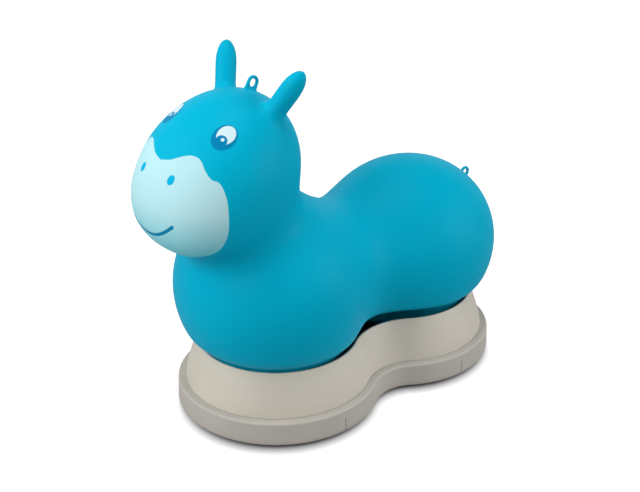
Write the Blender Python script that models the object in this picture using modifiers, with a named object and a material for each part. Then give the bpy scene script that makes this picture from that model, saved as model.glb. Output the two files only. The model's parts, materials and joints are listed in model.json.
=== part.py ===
"""Inflatable animal hopper seated in a castor base, modelled for Blender 4.5.

Metres, +Z up, the floor at z = 0. The animal looks along -Y, and its left side is +X.
The soft body is one moulded skin with a valve in its belly. It sits in a base with
a peanut plan: a wall, a seat deck inside it, a bumper round its foot and four castors.
"""

import math

import bmesh
import bpy
import numpy as np
from mathutils import Matrix, Vector

# The whole toy
BODY_SHIFT = 0.0206  # puts the origin under the middle of the overall length
FLOOR_GAP = 0.004  # from the floor to the bumper's lower edge
SEAT_GAP = 0.0003  # left between pieces that touch

# Base plan: two equal lobes joined by hollow waists
LOBE_RADIUS = 0.14475
LOBE_OFFSET = 0.11525
WAIST_RADIUS = 0.061
LOBE_STEPS = 23
WAIST_STEPS = 5

# Base wall, by height above the bumper's lower edge and inset from the bumper's face
LEDGE_HEIGHT = 0.0347
WALL_FOOT_INSET = 0.0120
RIM_HEIGHT = 0.0944
RIM_INSET = 0.0298
RIM_WIDTH = 0.0030
RIM_ROLL = 0.001  # rounding of the rim's corners
WALL_BULGE = 1.3  # power of the curve that leans the wall in towards the rim
WALL_THICKNESS = 0.0025
WALL_RINGS = 5
SKIRT_STEP = 0.0005  # from the wall's foot in to the skirt that drops inside the bumper
SKIRT_FOOT = 0.0034

# Bumper section
BUMPER_THICKNESS = 0.0026
BUMPER_LIP_WIDTH = 0.0155
BUMPER_LIP_THICKNESS = 0.003
BUMPER_DRAFT = 0.0010
BUMPER_ROUND = 0.003
BUMPER_FOOT_CHAMFER = 0.0018
BUMPER_WIDEST = 0.006  # height where the face stands furthest out
LEDGE_RISE = 0.0006
SLIT_WIDTH = 0.0012
SLIT_DEPTH = 0.0018
SLIT_HEIGHT = 0.021

# Seat deck
DECK_TOP = 0.054
DECK_THICKNESS = 0.003
DECK_INSET = 0.0185
SEAT_CLEARANCE = 0.0024
BOWL_THICKNESS = 0.003
RIB_THICKNESS = 0.0025
RIB_DEPTH = 0.009
RIB_SPACING = 0.040  # from the middle out to each long rib
LONG_RIB_LENGTH = 0.40
CROSS_RIB_LENGTH = 0.134
POST_RADIUS = 0.0042
POST_INSET = 0.0235
POST_HEIGHT = 0.014
POST_SPREAD = math.radians(14)  # either side of the toy's middle line, seen from a lobe's centre

# Screws that hold the deck up against the posts in the base wall
SCREW_RADIUS = 0.0015
SCREW_LENGTH = 0.012
SCREW_HEAD_RADIUS = 0.0034
SCREW_HEAD_HEIGHT = 0.002
SCREW_POINT = 0.0015

# Castors
CASTOR_REACH = 0.067  # from a lobe's centre to the swivel axis, along X and along Y
CASTOR_TRAIL = 0.011
TYRE_RADIUS = 0.015
TYRE_WIDTH = 0.013
HUB_RADIUS = 0.011
AXLE_RADIUS = 0.0025
STEM_RADIUS = 0.004
RUNNING_GAP = 0.0001  # between a shaft and its bore, before faceting
FORK_WIDTH = 0.0205
FORK_SLOT = 0.0152
FORK_TOP = 0.0355
FORK_CROWN = 0.0035
FORK_EYE_RADIUS = 0.005
CROWN_BACK = 0.0105  # from the swivel axis back to the crown's edge
CROWN_FRONT = 0.0145  # and forward to its other edge, over the wheel
CROWN_CORNER = 0.004
CROWN_DEPTH = 0.009
RIVET_HEAD_RADIUS = 0.0062
RIVET_HEAD_HEIGHT = 0.0012
BUSH_RADIUS = 0.006
BUSH_FLANGE_RADIUS = 0.008
BUSH_FLANGE_HEIGHT = 0.0015
BOSS_RADIUS = 0.0095
STEM_TOP = 0.0515
HUB_BOSS_RADIUS = 0.0045
HUB_BOSS_PROUD = 0.0005  # beyond the tyre's face
HUB_DISH = 0.004
AXLE_HEAD_RADIUS = 0.0036
AXLE_HEAD_HEIGHT = 0.001
TYRE_SHOULDER_WIDTH = 0.0032
TYRE_SHOULDER_DROP = 0.0016
EDGE_BREAK = 0.0008  # chamfer on small turned pieces

# Soft body: ellipsoids and a tapered neck, blended over the widths named here.
# Each centre is (y, z) on the middle plane, and each size is the half extents in x, y, z.
# Fullness is the power of a ball's plan outline: 2 is an ellipse, and more is squarer.
RUMP_CENTRE = (0.1315, 0.167)
RUMP_SIZE = (0.128, 0.145, 0.1315)
CHEST_CENTRE = (-0.132, 0.1795)
CHEST_SIZE = (0.137, 0.127, 0.1345)
WAIST_BLEND = 0.114
WAIST_CENTRE = (0.0, 0.172)  # a ball that fills the crease between them in the blockout
WAIST_SIZE = (0.095, 0.120, 0.097)
NECK_FOOT = (-0.1423, 0.2372)
NECK_FOOT_RADIUS = 0.0842
NECK_TOP = (-0.1967, 0.3397)
NECK_TOP_RADIUS = 0.0719
NECK_BLEND = 0.023
HEAD_CENTRE = (-0.1851, 0.3696)
HEAD_SIZE = (0.0832, 0.0827, 0.0965)
HEAD_TILT = math.radians(-22)
HEAD_FULLNESS = 2.17
MUZZLE_CENTRE = (-0.2468, 0.3465)
MUZZLE_SIZE = (0.0813, 0.0709, 0.0531)
MUZZLE_TILT = math.radians(44.7)
MUZZLE_FULLNESS = 2.3
MUZZLE_BLEND = 0.0958
JAW_BLEND = 0.0298
EAR_TIP = (0.0744, -0.1357, 0.4909)  # centre of the round tip
EAR_TIP_RADIUS = 0.0119
EAR_ROOT_RADIUS = 0.0147
EAR_RUN = (-0.0215, -0.0194, -0.0408)  # from the tip's centre down to the ear's root
EAR_BLEND = 0.014
GIRDLE_INSET = 0.0358  # how far inside the bumper's face the rim keeps the body
GIRDLE_LIFT = 0.003  # from the rim up to where the body swells out again
GIRDLE_FLARE = 1.6  # how fast it may swell out there
GIRDLE_BLEND = 0.014
SKIN_THICKNESS = 0.0028
SKIN_TRIANGLES = 2500
LINING_TRIANGLES = 850
HOLLOW_TRIANGLES = 2000
BLOCKOUT_VOXEL = 0.0065
RELAX_ROUNDS = 3
PROBE_STEP = 0.0004  # either side of a point, to find the slope of the distance there
LEAST_SLOPE = 0.5  # keeps a step short where the distance is nearly flat

# Hanging loops on the head and the rump: a flat tab with a slot, on the middle plane
LOOP_HEIGHT = 0.0188
LOOP_WIDTH = 0.0175
LOOP_BASE_WIDTH = 0.0192
LOOP_THICKNESS = 0.0042
LOOP_SLOT_WIDTH = 0.0091
LOOP_SLOT_HEIGHT = 0.0106
LOOP_ROOT = 0.003  # below the foot's middle, to be cut to the skin
HEAD_LOOP_FOOT = (-0.1536, 0.4617)
HEAD_LOOP_LEAN = math.radians(-27)
TAIL_LOOP_FOOT = (0.2532, 0.2385)
TAIL_LOOP_LEAN = math.radians(-49)

# Valve in the belly
VALVE_Y = -0.008
BELLY_HEIGHT = 0.0752
VALVE_SLEEVE_RADIUS = 0.0068
VALVE_FLANGE_RADIUS = 0.0100
VALVE_FLANGE_HEIGHT = 0.0016
VALVE_BORE = 0.0034
VALVE_DEPTH = 0.0075
VALVE_SEAT = 0.0006  # from the lining up to the shoulder that the flange rests over
VALVE_HOLE_TOP = 0.014  # the hole's cutter, above and below the belly's skin
VALVE_HOLE_FOOT = -0.008
SLEEVE_DRAFT = 0.0002
PLUG_HEAD_RADIUS = 0.0060
PLUG_HEAD_HEIGHT = 0.0018
PLUG_LENGTH = 0.0085
PLUG_NOSE = 0.001
PLUG_PLAY = 0.0003  # between the plug and its bore at the mouth

CUTTER_REACH = 1.0  # side of a cutting block that must pass everything
TINY = 1e-6  # keeps a division clear of zero
UPRIGHT = Matrix(((0, 0, 1, 0), (1, 0, 0, 0), (0, 1, 0, 0), (0, 0, 0, 1)))

# Colours as they look in daylight, in linear values
BODY_BLUE = (0.0, 0.40, 0.60)
WALL_GREY = (0.48, 0.45, 0.40)
BUMPER_GREY = (0.34, 0.33, 0.31)
DECK_BLACK = (0.018, 0.020, 0.023)
VALVE_WHITE = (0.78, 0.80, 0.80)
CASTOR_BLACK = (0.03, 0.03, 0.032)
TYRE_GREY = (0.22, 0.22, 0.21)
STEEL = (0.62, 0.62, 0.60)


def clear_scene():
    for item in list(bpy.data.objects):
        bpy.data.objects.remove(item, do_unlink=True)


def new_collection(name):
    collection = bpy.data.collections.new(name)
    bpy.context.scene.collection.children.link(collection)
    return collection


def material(name, colour, roughness, metallic=0.0):
    finish = bpy.data.materials.new(name)
    finish.use_nodes = True
    shader = finish.node_tree.nodes["Principled BSDF"]
    shader.inputs["Base Color"].default_value = (*colour, 1.0)
    shader.inputs["Roughness"].default_value = roughness
    shader.inputs["Metallic"].default_value = metallic
    finish.diffuse_color = (*colour, 1.0)
    return finish


def add_object(name, data, collection, parent=None, finish=None, location=(0, 0, 0)):
    """Links one mesh or curve as an object, under a parent empty where it has one."""
    item = bpy.data.objects.new(name, data)
    collection.objects.link(item)
    item.location = location
    item.parent = parent
    if finish and not data.materials:
        data.materials.append(finish)
    return item


def make_cutter(item):
    item.hide_render = True
    item.display_type = "WIRE"
    return item


def combine(item, other, operation):
    """Cuts or joins with a Boolean that stays on the object."""
    modifier = item.modifiers.new(other.name, "BOOLEAN")
    modifier.operation = operation
    modifier.object = make_cutter(other)
    return item


def mesh_from(build):
    """Makes a mesh from a function that fills a bmesh."""
    mesh = bpy.data.meshes.new("shape")
    shape = bmesh.new()
    build(shape)
    shape.to_mesh(mesh)
    shape.free()
    return mesh


def shade(mesh, angle=35):
    mesh.shade_smooth()
    mesh.set_sharp_from_angle(angle=math.radians(angle))


def add_box(shape, centre, size):
    place = Matrix.Translation(centre) @ Matrix.Diagonal((*size, 1.0))
    bmesh.ops.create_cube(shape, size=1.0, matrix=place)


def add_cylinder(shape, centre, radius, height, segments, axis="Z"):
    """Adds a capped cylinder whose middle is at centre."""
    turn = Matrix.Rotation(math.radians(90), 4, "Y") if axis == "X" else Matrix.Identity(4)
    bmesh.ops.create_cone(
        shape,
        cap_ends=True,
        segments=segments,
        radius1=radius,
        radius2=radius,
        depth=height,
        matrix=Matrix.Translation(centre) @ turn,
    )


def baked_mesh(item):
    """The object's evaluated mesh with its welded caps, in the object's own space."""
    bpy.context.view_layer.update()
    graph = bpy.context.evaluated_depsgraph_get()
    mesh = bpy.data.meshes.new_from_object(item.evaluated_get(graph))
    shape = bmesh.new()
    shape.from_mesh(mesh)
    bmesh.ops.remove_doubles(shape, verts=shape.verts, dist=0.00001)
    shape.to_mesh(mesh)
    shape.free()
    return mesh


def poly_curve(name, points, closed=True):
    """A flat curve through the points, each (x, y)."""
    curve = bpy.data.curves.new(name, "CURVE")
    curve.dimensions = "2D"
    spline = curve.splines.new("POLY")
    spline.points.add(len(points) - 1)
    for knot, (x, y) in zip(spline.points, points):
        knot.co = (x, y, 0.0, 1.0)
    spline.use_cyclic_u = closed
    return curve


def plate_mesh(points, thickness):
    """A flat outline filled on both sides, centred on its own plane."""
    curve = poly_curve("plate_outline", points)
    curve.fill_mode = "BOTH"
    curve.extrude = thickness / 2
    item = bpy.data.objects.new("plate_outline", curve)
    bpy.context.scene.collection.objects.link(item)
    mesh = baked_mesh(item)
    bpy.data.objects.remove(item, do_unlink=True)
    return mesh


def turned_mesh(profile, steps):
    """Turns a profile of (radius, height) pairs, listed down its outer side, about Z."""
    mesh = bpy.data.meshes.new("profile")
    points = [(radius, 0.0, height) for radius, height in profile]
    closed = profile[0][0] > 0 or profile[-1][0] > 0
    edges = [(i, i + 1) for i in range(len(points) - 1)]
    if closed:
        edges.append((len(points) - 1, 0))
    mesh.from_pydata(points, edges, [])
    item = bpy.data.objects.new("profile", mesh)
    bpy.context.scene.collection.objects.link(item)
    screw = item.modifiers.new("turn", "SCREW")
    screw.steps = steps
    screw.render_steps = steps
    screw.use_merge_vertices = True
    screw.merge_threshold = 0.00001
    turned = baked_mesh(item)
    bpy.data.objects.remove(item, do_unlink=True)
    shade(turned)
    return turned


def arc(centre, radius, start, end, steps):
    """Points on an arc, angles in radians, without the last one."""
    angles = np.linspace(start, end, steps + 1)[:-1]
    return [(centre[0] + radius * math.cos(a), centre[1] + radius * math.sin(a)) for a in angles]


def peanut(inset):
    """The base's plan outline, moved in from the bumper's face by the inset."""
    reach = LOBE_RADIUS + WAIST_RADIUS
    waist_x = math.sqrt(reach**2 - LOBE_OFFSET**2)
    lean = math.atan2(LOBE_OFFSET, waist_x)
    lobe = LOBE_RADIUS - inset
    waist = WAIST_RADIUS + inset
    points = arc((0, LOBE_OFFSET), lobe, -lean, math.pi + lean, LOBE_STEPS)
    points += arc((-waist_x, 0), waist, lean, -lean, WAIST_STEPS)
    points += arc((0, -LOBE_OFFSET), lobe, math.pi - lean, 2 * math.pi + lean, LOBE_STEPS)
    points += arc((waist_x, 0), waist, math.pi + lean, math.pi - lean, WAIST_STEPS)
    return points


def swept_mesh(section):
    """Sweeps a closed section of (inset, height) pairs round the peanut plan."""
    profile = poly_curve("section", section)
    profile_item = bpy.data.objects.new("section", profile)
    path = poly_curve("path", peanut(0.0))
    path.bevel_mode = "OBJECT"
    path.bevel_object = profile_item
    path_item = bpy.data.objects.new("path", path)
    for item in (profile_item, path_item):
        bpy.context.scene.collection.objects.link(item)
    mesh = baked_mesh(path_item)
    for item in (path_item, profile_item):
        bpy.data.objects.remove(item, do_unlink=True)
    shade(mesh)
    return mesh


def wall_inset(height):
    """How far the wall has leaned in at a height above the bumper's lower edge."""
    share = (height - LEDGE_HEIGHT) / (RIM_HEIGHT - LEDGE_HEIGHT)
    return WALL_FOOT_INSET + (RIM_INSET - WALL_FOOT_INSET) * share**WALL_BULGE


def wall_section():
    """Leaning wall, rolled rim and the skirt inside the bumper, as one thin closed section."""
    heights = np.linspace(LEDGE_HEIGHT, RIM_HEIGHT - RIM_ROLL, WALL_RINGS)
    outer = [(wall_inset(h), h) for h in heights]
    rim = [
        (RIM_INSET + RIM_ROLL / 2, RIM_HEIGHT),
        (RIM_INSET + RIM_WIDTH - RIM_ROLL, RIM_HEIGHT),
        (RIM_INSET + RIM_WIDTH, RIM_HEIGHT - RIM_ROLL),
        (RIM_INSET + RIM_WIDTH, RIM_HEIGHT - 4 * RIM_ROLL),
    ]
    inner_heights = np.linspace(RIM_HEIGHT - 6 * RIM_ROLL, LEDGE_HEIGHT, 3)
    inner = [(wall_inset(h) + WALL_THICKNESS, h) for h in inner_heights]
    skirt = WALL_FOOT_INSET + SKIRT_STEP
    foot = [
        (skirt + WALL_THICKNESS, LEDGE_HEIGHT - WALL_THICKNESS),
        (skirt + WALL_THICKNESS, SKIRT_FOOT),
        (skirt, SKIRT_FOOT),
        (skirt, LEDGE_HEIGHT - SKIRT_STEP),
    ]
    return outer + rim + inner + foot


def bumper_section():
    """A hollow strip: a lip under the skirt, an upright face and a ledge round the wall."""
    ledge_end = WALL_FOOT_INSET + SKIRT_STEP - SEAT_GAP
    ledge_top = LEDGE_HEIGHT - 2 * SEAT_GAP
    shoulder_top = ledge_top - LEDGE_RISE
    shoulder = (BUMPER_DRAFT + BUMPER_ROUND, shoulder_top - BUMPER_ROUND)
    inside = BUMPER_DRAFT + BUMPER_THICKNESS
    return [
        (BUMPER_LIP_WIDTH, 0.0),
        (BUMPER_FOOT_CHAMFER, 0.0),
        (BUMPER_FOOT_CHAMFER / 4, BUMPER_FOOT_CHAMFER * 0.75),
        (0.0, BUMPER_WIDEST),
        *arc(shoulder, BUMPER_ROUND, math.pi, math.pi / 2, 2),
        (shoulder[0], shoulder_top),
        (ledge_end, ledge_top),
        (ledge_end, ledge_top - BUMPER_THICKNESS),
        (inside + BUMPER_ROUND / 2, shoulder_top - BUMPER_THICKNESS),
        (inside, shoulder_top - BUMPER_THICKNESS - BUMPER_ROUND / 2),
        (inside, BUMPER_LIP_THICKNESS),
        (BUMPER_LIP_WIDTH, BUMPER_LIP_THICKNESS),
    ]


def post_places():
    """Where the six screw posts stand: two at each end and one at each waist."""
    lobe = LOBE_RADIUS - POST_INSET
    waist_x = math.sqrt((LOBE_RADIUS + WAIST_RADIUS) ** 2 - LOBE_OFFSET**2)
    places = [(side * (waist_x - WAIST_RADIUS - POST_INSET), 0.0) for side in (-1, 1)]
    for end in (-1, 1):
        for side in (-1, 1):
            angle = math.radians(90) + side * POST_SPREAD
            places.append((lobe * math.cos(angle), end * (LOBE_OFFSET + lobe * math.sin(angle))))
    return places


def make_base_wall(origin, parts, cutters, finish):
    place = (0, 0, FLOOR_GAP)
    wall = add_object("base_wall", swept_mesh(wall_section()), parts, origin, finish, place)
    foot = DECK_TOP + SEAT_GAP - FLOOR_GAP

    def posts(shape, radius=POST_RADIUS, height=POST_HEIGHT, segments=8):
        for x, y in post_places():
            add_cylinder(shape, (x, y, foot + height / 2), radius, height, segments)

    def pilot_holes(shape):
        posts(shape, SCREW_RADIUS + SEAT_GAP, 2 * (SCREW_LENGTH - DECK_THICKNESS), 6)

    combine(wall, add_object("posts", mesh_from(posts), cutters, wall), "UNION")
    combine(wall, add_object("pilot_holes", mesh_from(pilot_holes), cutters, wall), "DIFFERENCE")


def make_bumper(origin, parts, cutters, finish):
    place = (0, 0, FLOOR_GAP)
    bumper = add_object("bumper", swept_mesh(bumper_section()), parts, origin, finish, place)

    def slits(shape):
        for side in (-1, 1):
            for end in (-1, 1):
                centre = (side * LOBE_RADIUS, end * LOBE_OFFSET, 0.0)
                add_box(shape, centre, (2 * SLIT_DEPTH, SLIT_WIDTH, 2 * SLIT_HEIGHT))

    combine(bumper, add_object("slits", mesh_from(slits), cutters, bumper), "DIFFERENCE")


def bowl_mesh(centre, size, grow):
    """One lobe of the body, grown all round, as a squashed ball."""
    radii = [half + grow for half in size]
    place = Matrix.Translation((0, *centre)) @ Matrix.Diagonal((*radii, 1.0))

    def build(shape):
        bmesh.ops.create_uvsphere(shape, u_segments=28, v_segments=20, radius=1.0, matrix=place)

    return mesh_from(build)


def castor_places():
    """Names and swivel axes of the four castors, in the base's own frame."""
    places = {}
    for end, end_name in ((-1, "front"), (1, "rear")):
        for side, side_name in ((1, "left"), (-1, "right")):
            x = side * CASTOR_REACH
            places[f"{end_name}_{side_name}"] = (x, end * (LOBE_OFFSET + CASTOR_REACH))
    return places


def space_above(shape):
    """Fills everything above the deck's top, to trim what stands up past it."""
    add_box(shape, (0, 0, DECK_TOP + CUTTER_REACH / 2), (CUTTER_REACH,) * 3)


def rib_boxes():
    """Centre and size of each rib under the deck: two along it, and one across at each end."""
    top = DECK_TOP - EDGE_BREAK
    foot = DECK_TOP - DECK_THICKNESS - RIB_DEPTH
    middle = (top + foot) / 2
    boxes = {}
    for side, side_name in ((-1, "right"), (1, "left")):
        size = (RIB_THICKNESS, LONG_RIB_LENGTH, top - foot)
        boxes[f"{side_name}_rib"] = ((side * RIB_SPACING, 0, middle), size)
    for end, end_name in ((-1, "front"), (1, "rear")):
        size = (CROSS_RIB_LENGTH, RIB_THICKNESS, top - foot - EDGE_BREAK)
        boxes[f"{end_name}_rib"] = ((0, end * (LOBE_OFFSET + CASTOR_REACH), middle), size)
    return boxes


def make_seat_deck(origin, parts, cutters, finish):
    """A plate with a dished seat for each lobe, castor bosses and ribs underneath."""
    plate = plate_mesh(peanut(DECK_INSET), DECK_THICKNESS)
    under = DECK_TOP - DECK_THICKNESS
    deck = add_object("seat_deck", plate, parts, origin, finish, (0, 0, (under + DECK_TOP) / 2))
    lobes = {"rump": (RUMP_CENTRE, RUMP_SIZE), "chest": (CHEST_CENTRE, CHEST_SIZE)}
    for name, (centre, size) in lobes.items():
        bowl = bowl_mesh(centre, size, SEAT_CLEARANCE + BOWL_THICKNESS)
        bowl_item = add_object(f"{name}_bowl", bowl, cutters, origin)
        trim = add_object(f"{name}_trim", mesh_from(space_above), cutters, origin)
        combine(bowl_item, trim, "DIFFERENCE")
        combine(deck, bowl_item, "UNION")

    def bosses(shape):
        foot = FORK_TOP + BUSH_FLANGE_HEIGHT + 2 * SEAT_GAP
        height = DECK_TOP - EDGE_BREAK - foot
        for x, y in castor_places().values():
            add_cylinder(shape, (x, y, foot + height / 2), BOSS_RADIUS, height, 20)

    combine(deck, add_object("bosses", mesh_from(bosses), cutters, origin), "UNION")
    for name, rib in rib_boxes().items():
        rib_mesh = mesh_from(lambda shape, rib=rib: add_box(shape, *rib))
        combine(deck, add_object(name, rib_mesh, cutters, origin), "UNION")
    seat = add_object("seat_hollow", blown_mesh(SEAT_CLEARANCE, HOLLOW_TRIANGLES), cutters, origin)
    combine(deck, seat, "DIFFERENCE")

    def holes(shape):
        bore_foot = FORK_TOP
        bore_top = STEM_TOP + 2 * SEAT_GAP
        for x, y in castor_places().values():
            centre = (x, y, (bore_foot + bore_top) / 2)
            add_cylinder(shape, centre, BUSH_RADIUS + SEAT_GAP, bore_top - bore_foot, 16)
        for x, y in post_places():
            add_cylinder(shape, (x, y, under), SCREW_RADIUS + SEAT_GAP, SCREW_LENGTH, 8)

    combine(deck, add_object("deck_holes", mesh_from(holes), cutters, origin), "DIFFERENCE")


def make_deck_screws(origin, parts, finish):
    """Six pan-head screws, driven up through the deck into the posts."""
    under = DECK_TOP - DECK_THICKNESS - SEAT_GAP
    profile = [
        (0.0, SCREW_LENGTH),
        (SCREW_RADIUS * 0.5, SCREW_LENGTH),
        (SCREW_RADIUS, SCREW_LENGTH - SCREW_POINT),
        (SCREW_RADIUS, 0.0),
        (SCREW_HEAD_RADIUS, 0.0),
        (SCREW_HEAD_RADIUS, -SCREW_HEAD_HEIGHT * 0.5),
        (SCREW_HEAD_RADIUS * 0.7, -SCREW_HEAD_HEIGHT),
        (0.0, -SCREW_HEAD_HEIGHT),
    ]
    screw = turned_mesh(profile, 6)
    for number, (x, y) in enumerate(post_places(), start=1):
        add_object(f"deck_screw_{number}", screw, parts, origin, finish, (x, y, under))


def fork_outline():
    """Side view of the fork, as (y, z): an eye round the axle and a crown above it."""
    eye_centre = (CASTOR_TRAIL, TYRE_RADIUS)
    eye = arc(eye_centre, FORK_EYE_RADIUS, math.radians(-170), math.radians(10), 6)
    eye.append((CASTOR_TRAIL + FORK_EYE_RADIUS, TYRE_RADIUS + EDGE_BREAK))
    corner_height = FORK_TOP - CROWN_CORNER
    front = arc((CROWN_FRONT - CROWN_CORNER, corner_height), CROWN_CORNER, 0, math.pi / 2, 3)
    back_centre = (CROWN_CORNER - CROWN_BACK, corner_height)
    back = arc(back_centre, CROWN_CORNER, math.pi / 2, math.pi, 3)
    return eye + front + back + [(-CROWN_BACK, FORK_TOP - CROWN_DEPTH)]


def fork_mesh():
    """The fork before its slot and holes are cut, standing over the swivel axis."""
    mesh = plate_mesh(fork_outline(), FORK_WIDTH)
    mesh.transform(UPRIGHT)
    return mesh


def fork_slot(shape):
    """The space for the wheel between the fork's two legs."""
    slot_top = FORK_TOP - FORK_CROWN
    add_box(shape, (0, 0, slot_top - CUTTER_REACH / 2), (FORK_SLOT, CUTTER_REACH, CUTTER_REACH))


def fork_holes(shape):
    """The rivet hole in the crown and the axle holes in the legs."""
    add_cylinder(shape, (0, 0, FORK_TOP), STEM_RADIUS + SEAT_GAP, 4 * FORK_CROWN, 16)
    centre = (0, CASTOR_TRAIL, TYRE_RADIUS)
    add_cylinder(shape, centre, AXLE_RADIUS + SEAT_GAP, 2 * FORK_WIDTH, 12, "X")


def stem_profile():
    """A steel rivet stem: its head lies under the fork's crown."""
    crown_under = FORK_TOP - FORK_CROWN - SEAT_GAP
    return [
        (0.0, STEM_TOP),
        (STEM_RADIUS - EDGE_BREAK, STEM_TOP),
        (STEM_RADIUS, STEM_TOP - EDGE_BREAK),
        (STEM_RADIUS, crown_under),
        (RIVET_HEAD_RADIUS, crown_under),
        (RIVET_HEAD_RADIUS, crown_under - RIVET_HEAD_HEIGHT),
        (0.0, crown_under - RIVET_HEAD_HEIGHT),
    ]


def bush_profile():
    """A flanged sleeve in the deck's boss, which the stem turns in."""
    bore = STEM_RADIUS + RUNNING_GAP
    foot = FORK_TOP + SEAT_GAP
    flange_top = foot + BUSH_FLANGE_HEIGHT
    return [
        (BUSH_RADIUS, STEM_TOP),
        (BUSH_RADIUS, flange_top),
        (BUSH_FLANGE_RADIUS, flange_top),
        (BUSH_FLANGE_RADIUS, foot),
        (bore, foot),
        (bore, STEM_TOP),
    ]


def hub_profile():
    """The wheel's hub: bore, dished web and the rim that carries the tread."""
    half = TYRE_WIDTH / 2
    bore = AXLE_RADIUS + RUNNING_GAP
    web_radius = (HUB_RADIUS + AXLE_RADIUS) / 2 - EDGE_BREAK
    return [
        (HUB_RADIUS, half - EDGE_BREAK),
        (HUB_RADIUS, -half + EDGE_BREAK),
        (web_radius, -half + HUB_DISH),
        (HUB_BOSS_RADIUS, -half - HUB_BOSS_PROUD),
        (bore, -half - HUB_BOSS_PROUD),
        (bore, half + HUB_BOSS_PROUD),
        (HUB_BOSS_RADIUS, half + HUB_BOSS_PROUD),
        (web_radius, half - HUB_DISH),
    ]


def tyre_profile():
    """The soft tread, rounded at both shoulders."""
    half = TYRE_WIDTH / 2
    return [
        (TYRE_RADIUS - TYRE_SHOULDER_DROP, half),
        (TYRE_RADIUS, half - TYRE_SHOULDER_WIDTH),
        (TYRE_RADIUS, -half + TYRE_SHOULDER_WIDTH),
        (TYRE_RADIUS - TYRE_SHOULDER_DROP, -half),
        (HUB_RADIUS + SEAT_GAP, -half),
        (HUB_RADIUS + SEAT_GAP, half),
    ]


def axle_profile():
    """A plain pin with a small head at each end."""
    half = FORK_WIDTH / 2 + SEAT_GAP
    return [
        (0.0, half + AXLE_HEAD_HEIGHT),
        (AXLE_HEAD_RADIUS, half + AXLE_HEAD_HEIGHT),
        (AXLE_HEAD_RADIUS, half),
        (AXLE_RADIUS, half),
        (AXLE_RADIUS, -half),
        (AXLE_HEAD_RADIUS, -half),
        (AXLE_HEAD_RADIUS, -half - AXLE_HEAD_HEIGHT),
        (0.0, -half - AXLE_HEAD_HEIGHT),
    ]


def make_castors(origin, parts, cutters, finishes):
    """Four castors; the copies of a piece share one mesh."""
    across = Matrix.Rotation(math.radians(90), 4, "Y")
    axle = turned_mesh(axle_profile(), 8)
    hub = turned_mesh(hub_profile(), 16)
    tyre = turned_mesh(tyre_profile(), 18)
    for mesh in (axle, hub, tyre):
        mesh.transform(across)
    stem = turned_mesh(stem_profile(), 12)
    bush = turned_mesh(bush_profile(), 16)
    fork = fork_mesh()
    shade(fork)
    for name, (x, y) in castor_places().items():
        swivel = add_object(f"{name}_swivel_axis", None, cutters, origin, location=(x, y, 0))
        wheel_axis = add_object(f"{name}_wheel_axis", None, cutters, swivel)
        wheel_axis.location = (0, CASTOR_TRAIL, TYRE_RADIUS)
        add_object(f"{name}_bush", bush, parts, swivel, finishes["bush"])
        add_object(f"{name}_stem", stem, parts, swivel, finishes["steel"])
        fork_item = add_object(f"{name}_fork", fork, parts, swivel, finishes["castor"])
        slot = add_object(f"{name}_slot", mesh_from(fork_slot), cutters, swivel)
        holes = add_object(f"{name}_holes", mesh_from(fork_holes), cutters, swivel)
        combine(fork_item, slot, "DIFFERENCE")
        combine(fork_item, holes, "DIFFERENCE")
        add_object(f"{name}_axle", axle, parts, wheel_axis, finishes["steel"])
        add_object(f"{name}_hub", hub, parts, wheel_axis, finishes["castor"])
        add_object(f"{name}_tyre", tyre, parts, wheel_axis, finishes["tyre"])


def smooth_union(first, second, width):
    """The lesser distance, rounded where the two are within the width of each other."""
    overlap = np.maximum(width - np.abs(first - second), 0.0) / width
    return np.minimum(first, second) - overlap * overlap * width / 4


def smooth_limit(inner, outer, width):
    """The greater distance, rounded in the same way."""
    return -smooth_union(-inner, -outer, width)


def ball_distance(points, centre, size, tilt=0.0, fullness=2.0):
    """Distance to a squashed ball on the middle plane, tilted about X."""
    y = points[:, 1] - centre[0]
    z = points[:, 2] - centre[1]
    along = y * math.cos(tilt) + z * math.sin(tilt)
    above = z * math.cos(tilt) - y * math.sin(tilt)
    scaled = np.abs(np.column_stack([points[:, 0], along, above])) / size
    plan = np.sum(scaled[:, :2] ** fullness, axis=1) ** (1 / fullness)
    plan = np.maximum(plan, TINY)[:, None]
    reach = np.hypot(plan[:, 0], scaled[:, 2])
    sideways = plan * (scaled[:, :2] / plan) ** (fullness - 1)
    slope = np.linalg.norm(np.column_stack([sideways, scaled[:, 2]]) / size, axis=1)
    return reach * (reach - 1.0) / np.maximum(slope, TINY)


def bar_distance(points, foot, run, foot_radius, top_radius):
    """Distance to a tapered bar with round ends, a run of balls from its foot to its top."""
    foot = np.array(foot)
    run = np.array(run)
    share = np.clip((points - foot) @ run / (run @ run), 0.0, 1.0)
    radius = foot_radius + (top_radius - foot_radius) * share
    return np.linalg.norm(points - foot - share[:, None] * run, axis=1) - radius


def neck_distance(points):
    run = (0.0, NECK_TOP[0] - NECK_FOOT[0], NECK_TOP[1] - NECK_FOOT[1])
    return bar_distance(points, (0.0, *NECK_FOOT), run, NECK_FOOT_RADIUS, NECK_TOP_RADIUS)


def ear_distance(points):
    return bar_distance(points, EAR_TIP, EAR_RUN, EAR_TIP_RADIUS, EAR_ROOT_RADIUS)


def plan_distance(points):
    """Distance from the bumper's face in plan, negative inside it."""
    x = np.abs(points[:, 0])
    y = np.abs(points[:, 1])
    waist_x = math.sqrt((LOBE_RADIUS + WAIST_RADIUS) ** 2 - LOBE_OFFSET**2)
    by_waist = x * LOBE_OFFSET + y * waist_x < waist_x * LOBE_OFFSET
    waist = WAIST_RADIUS - np.hypot(x - waist_x, y)
    return np.where(by_waist, waist, np.hypot(x, y - LOBE_OFFSET) - LOBE_RADIUS)


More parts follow.
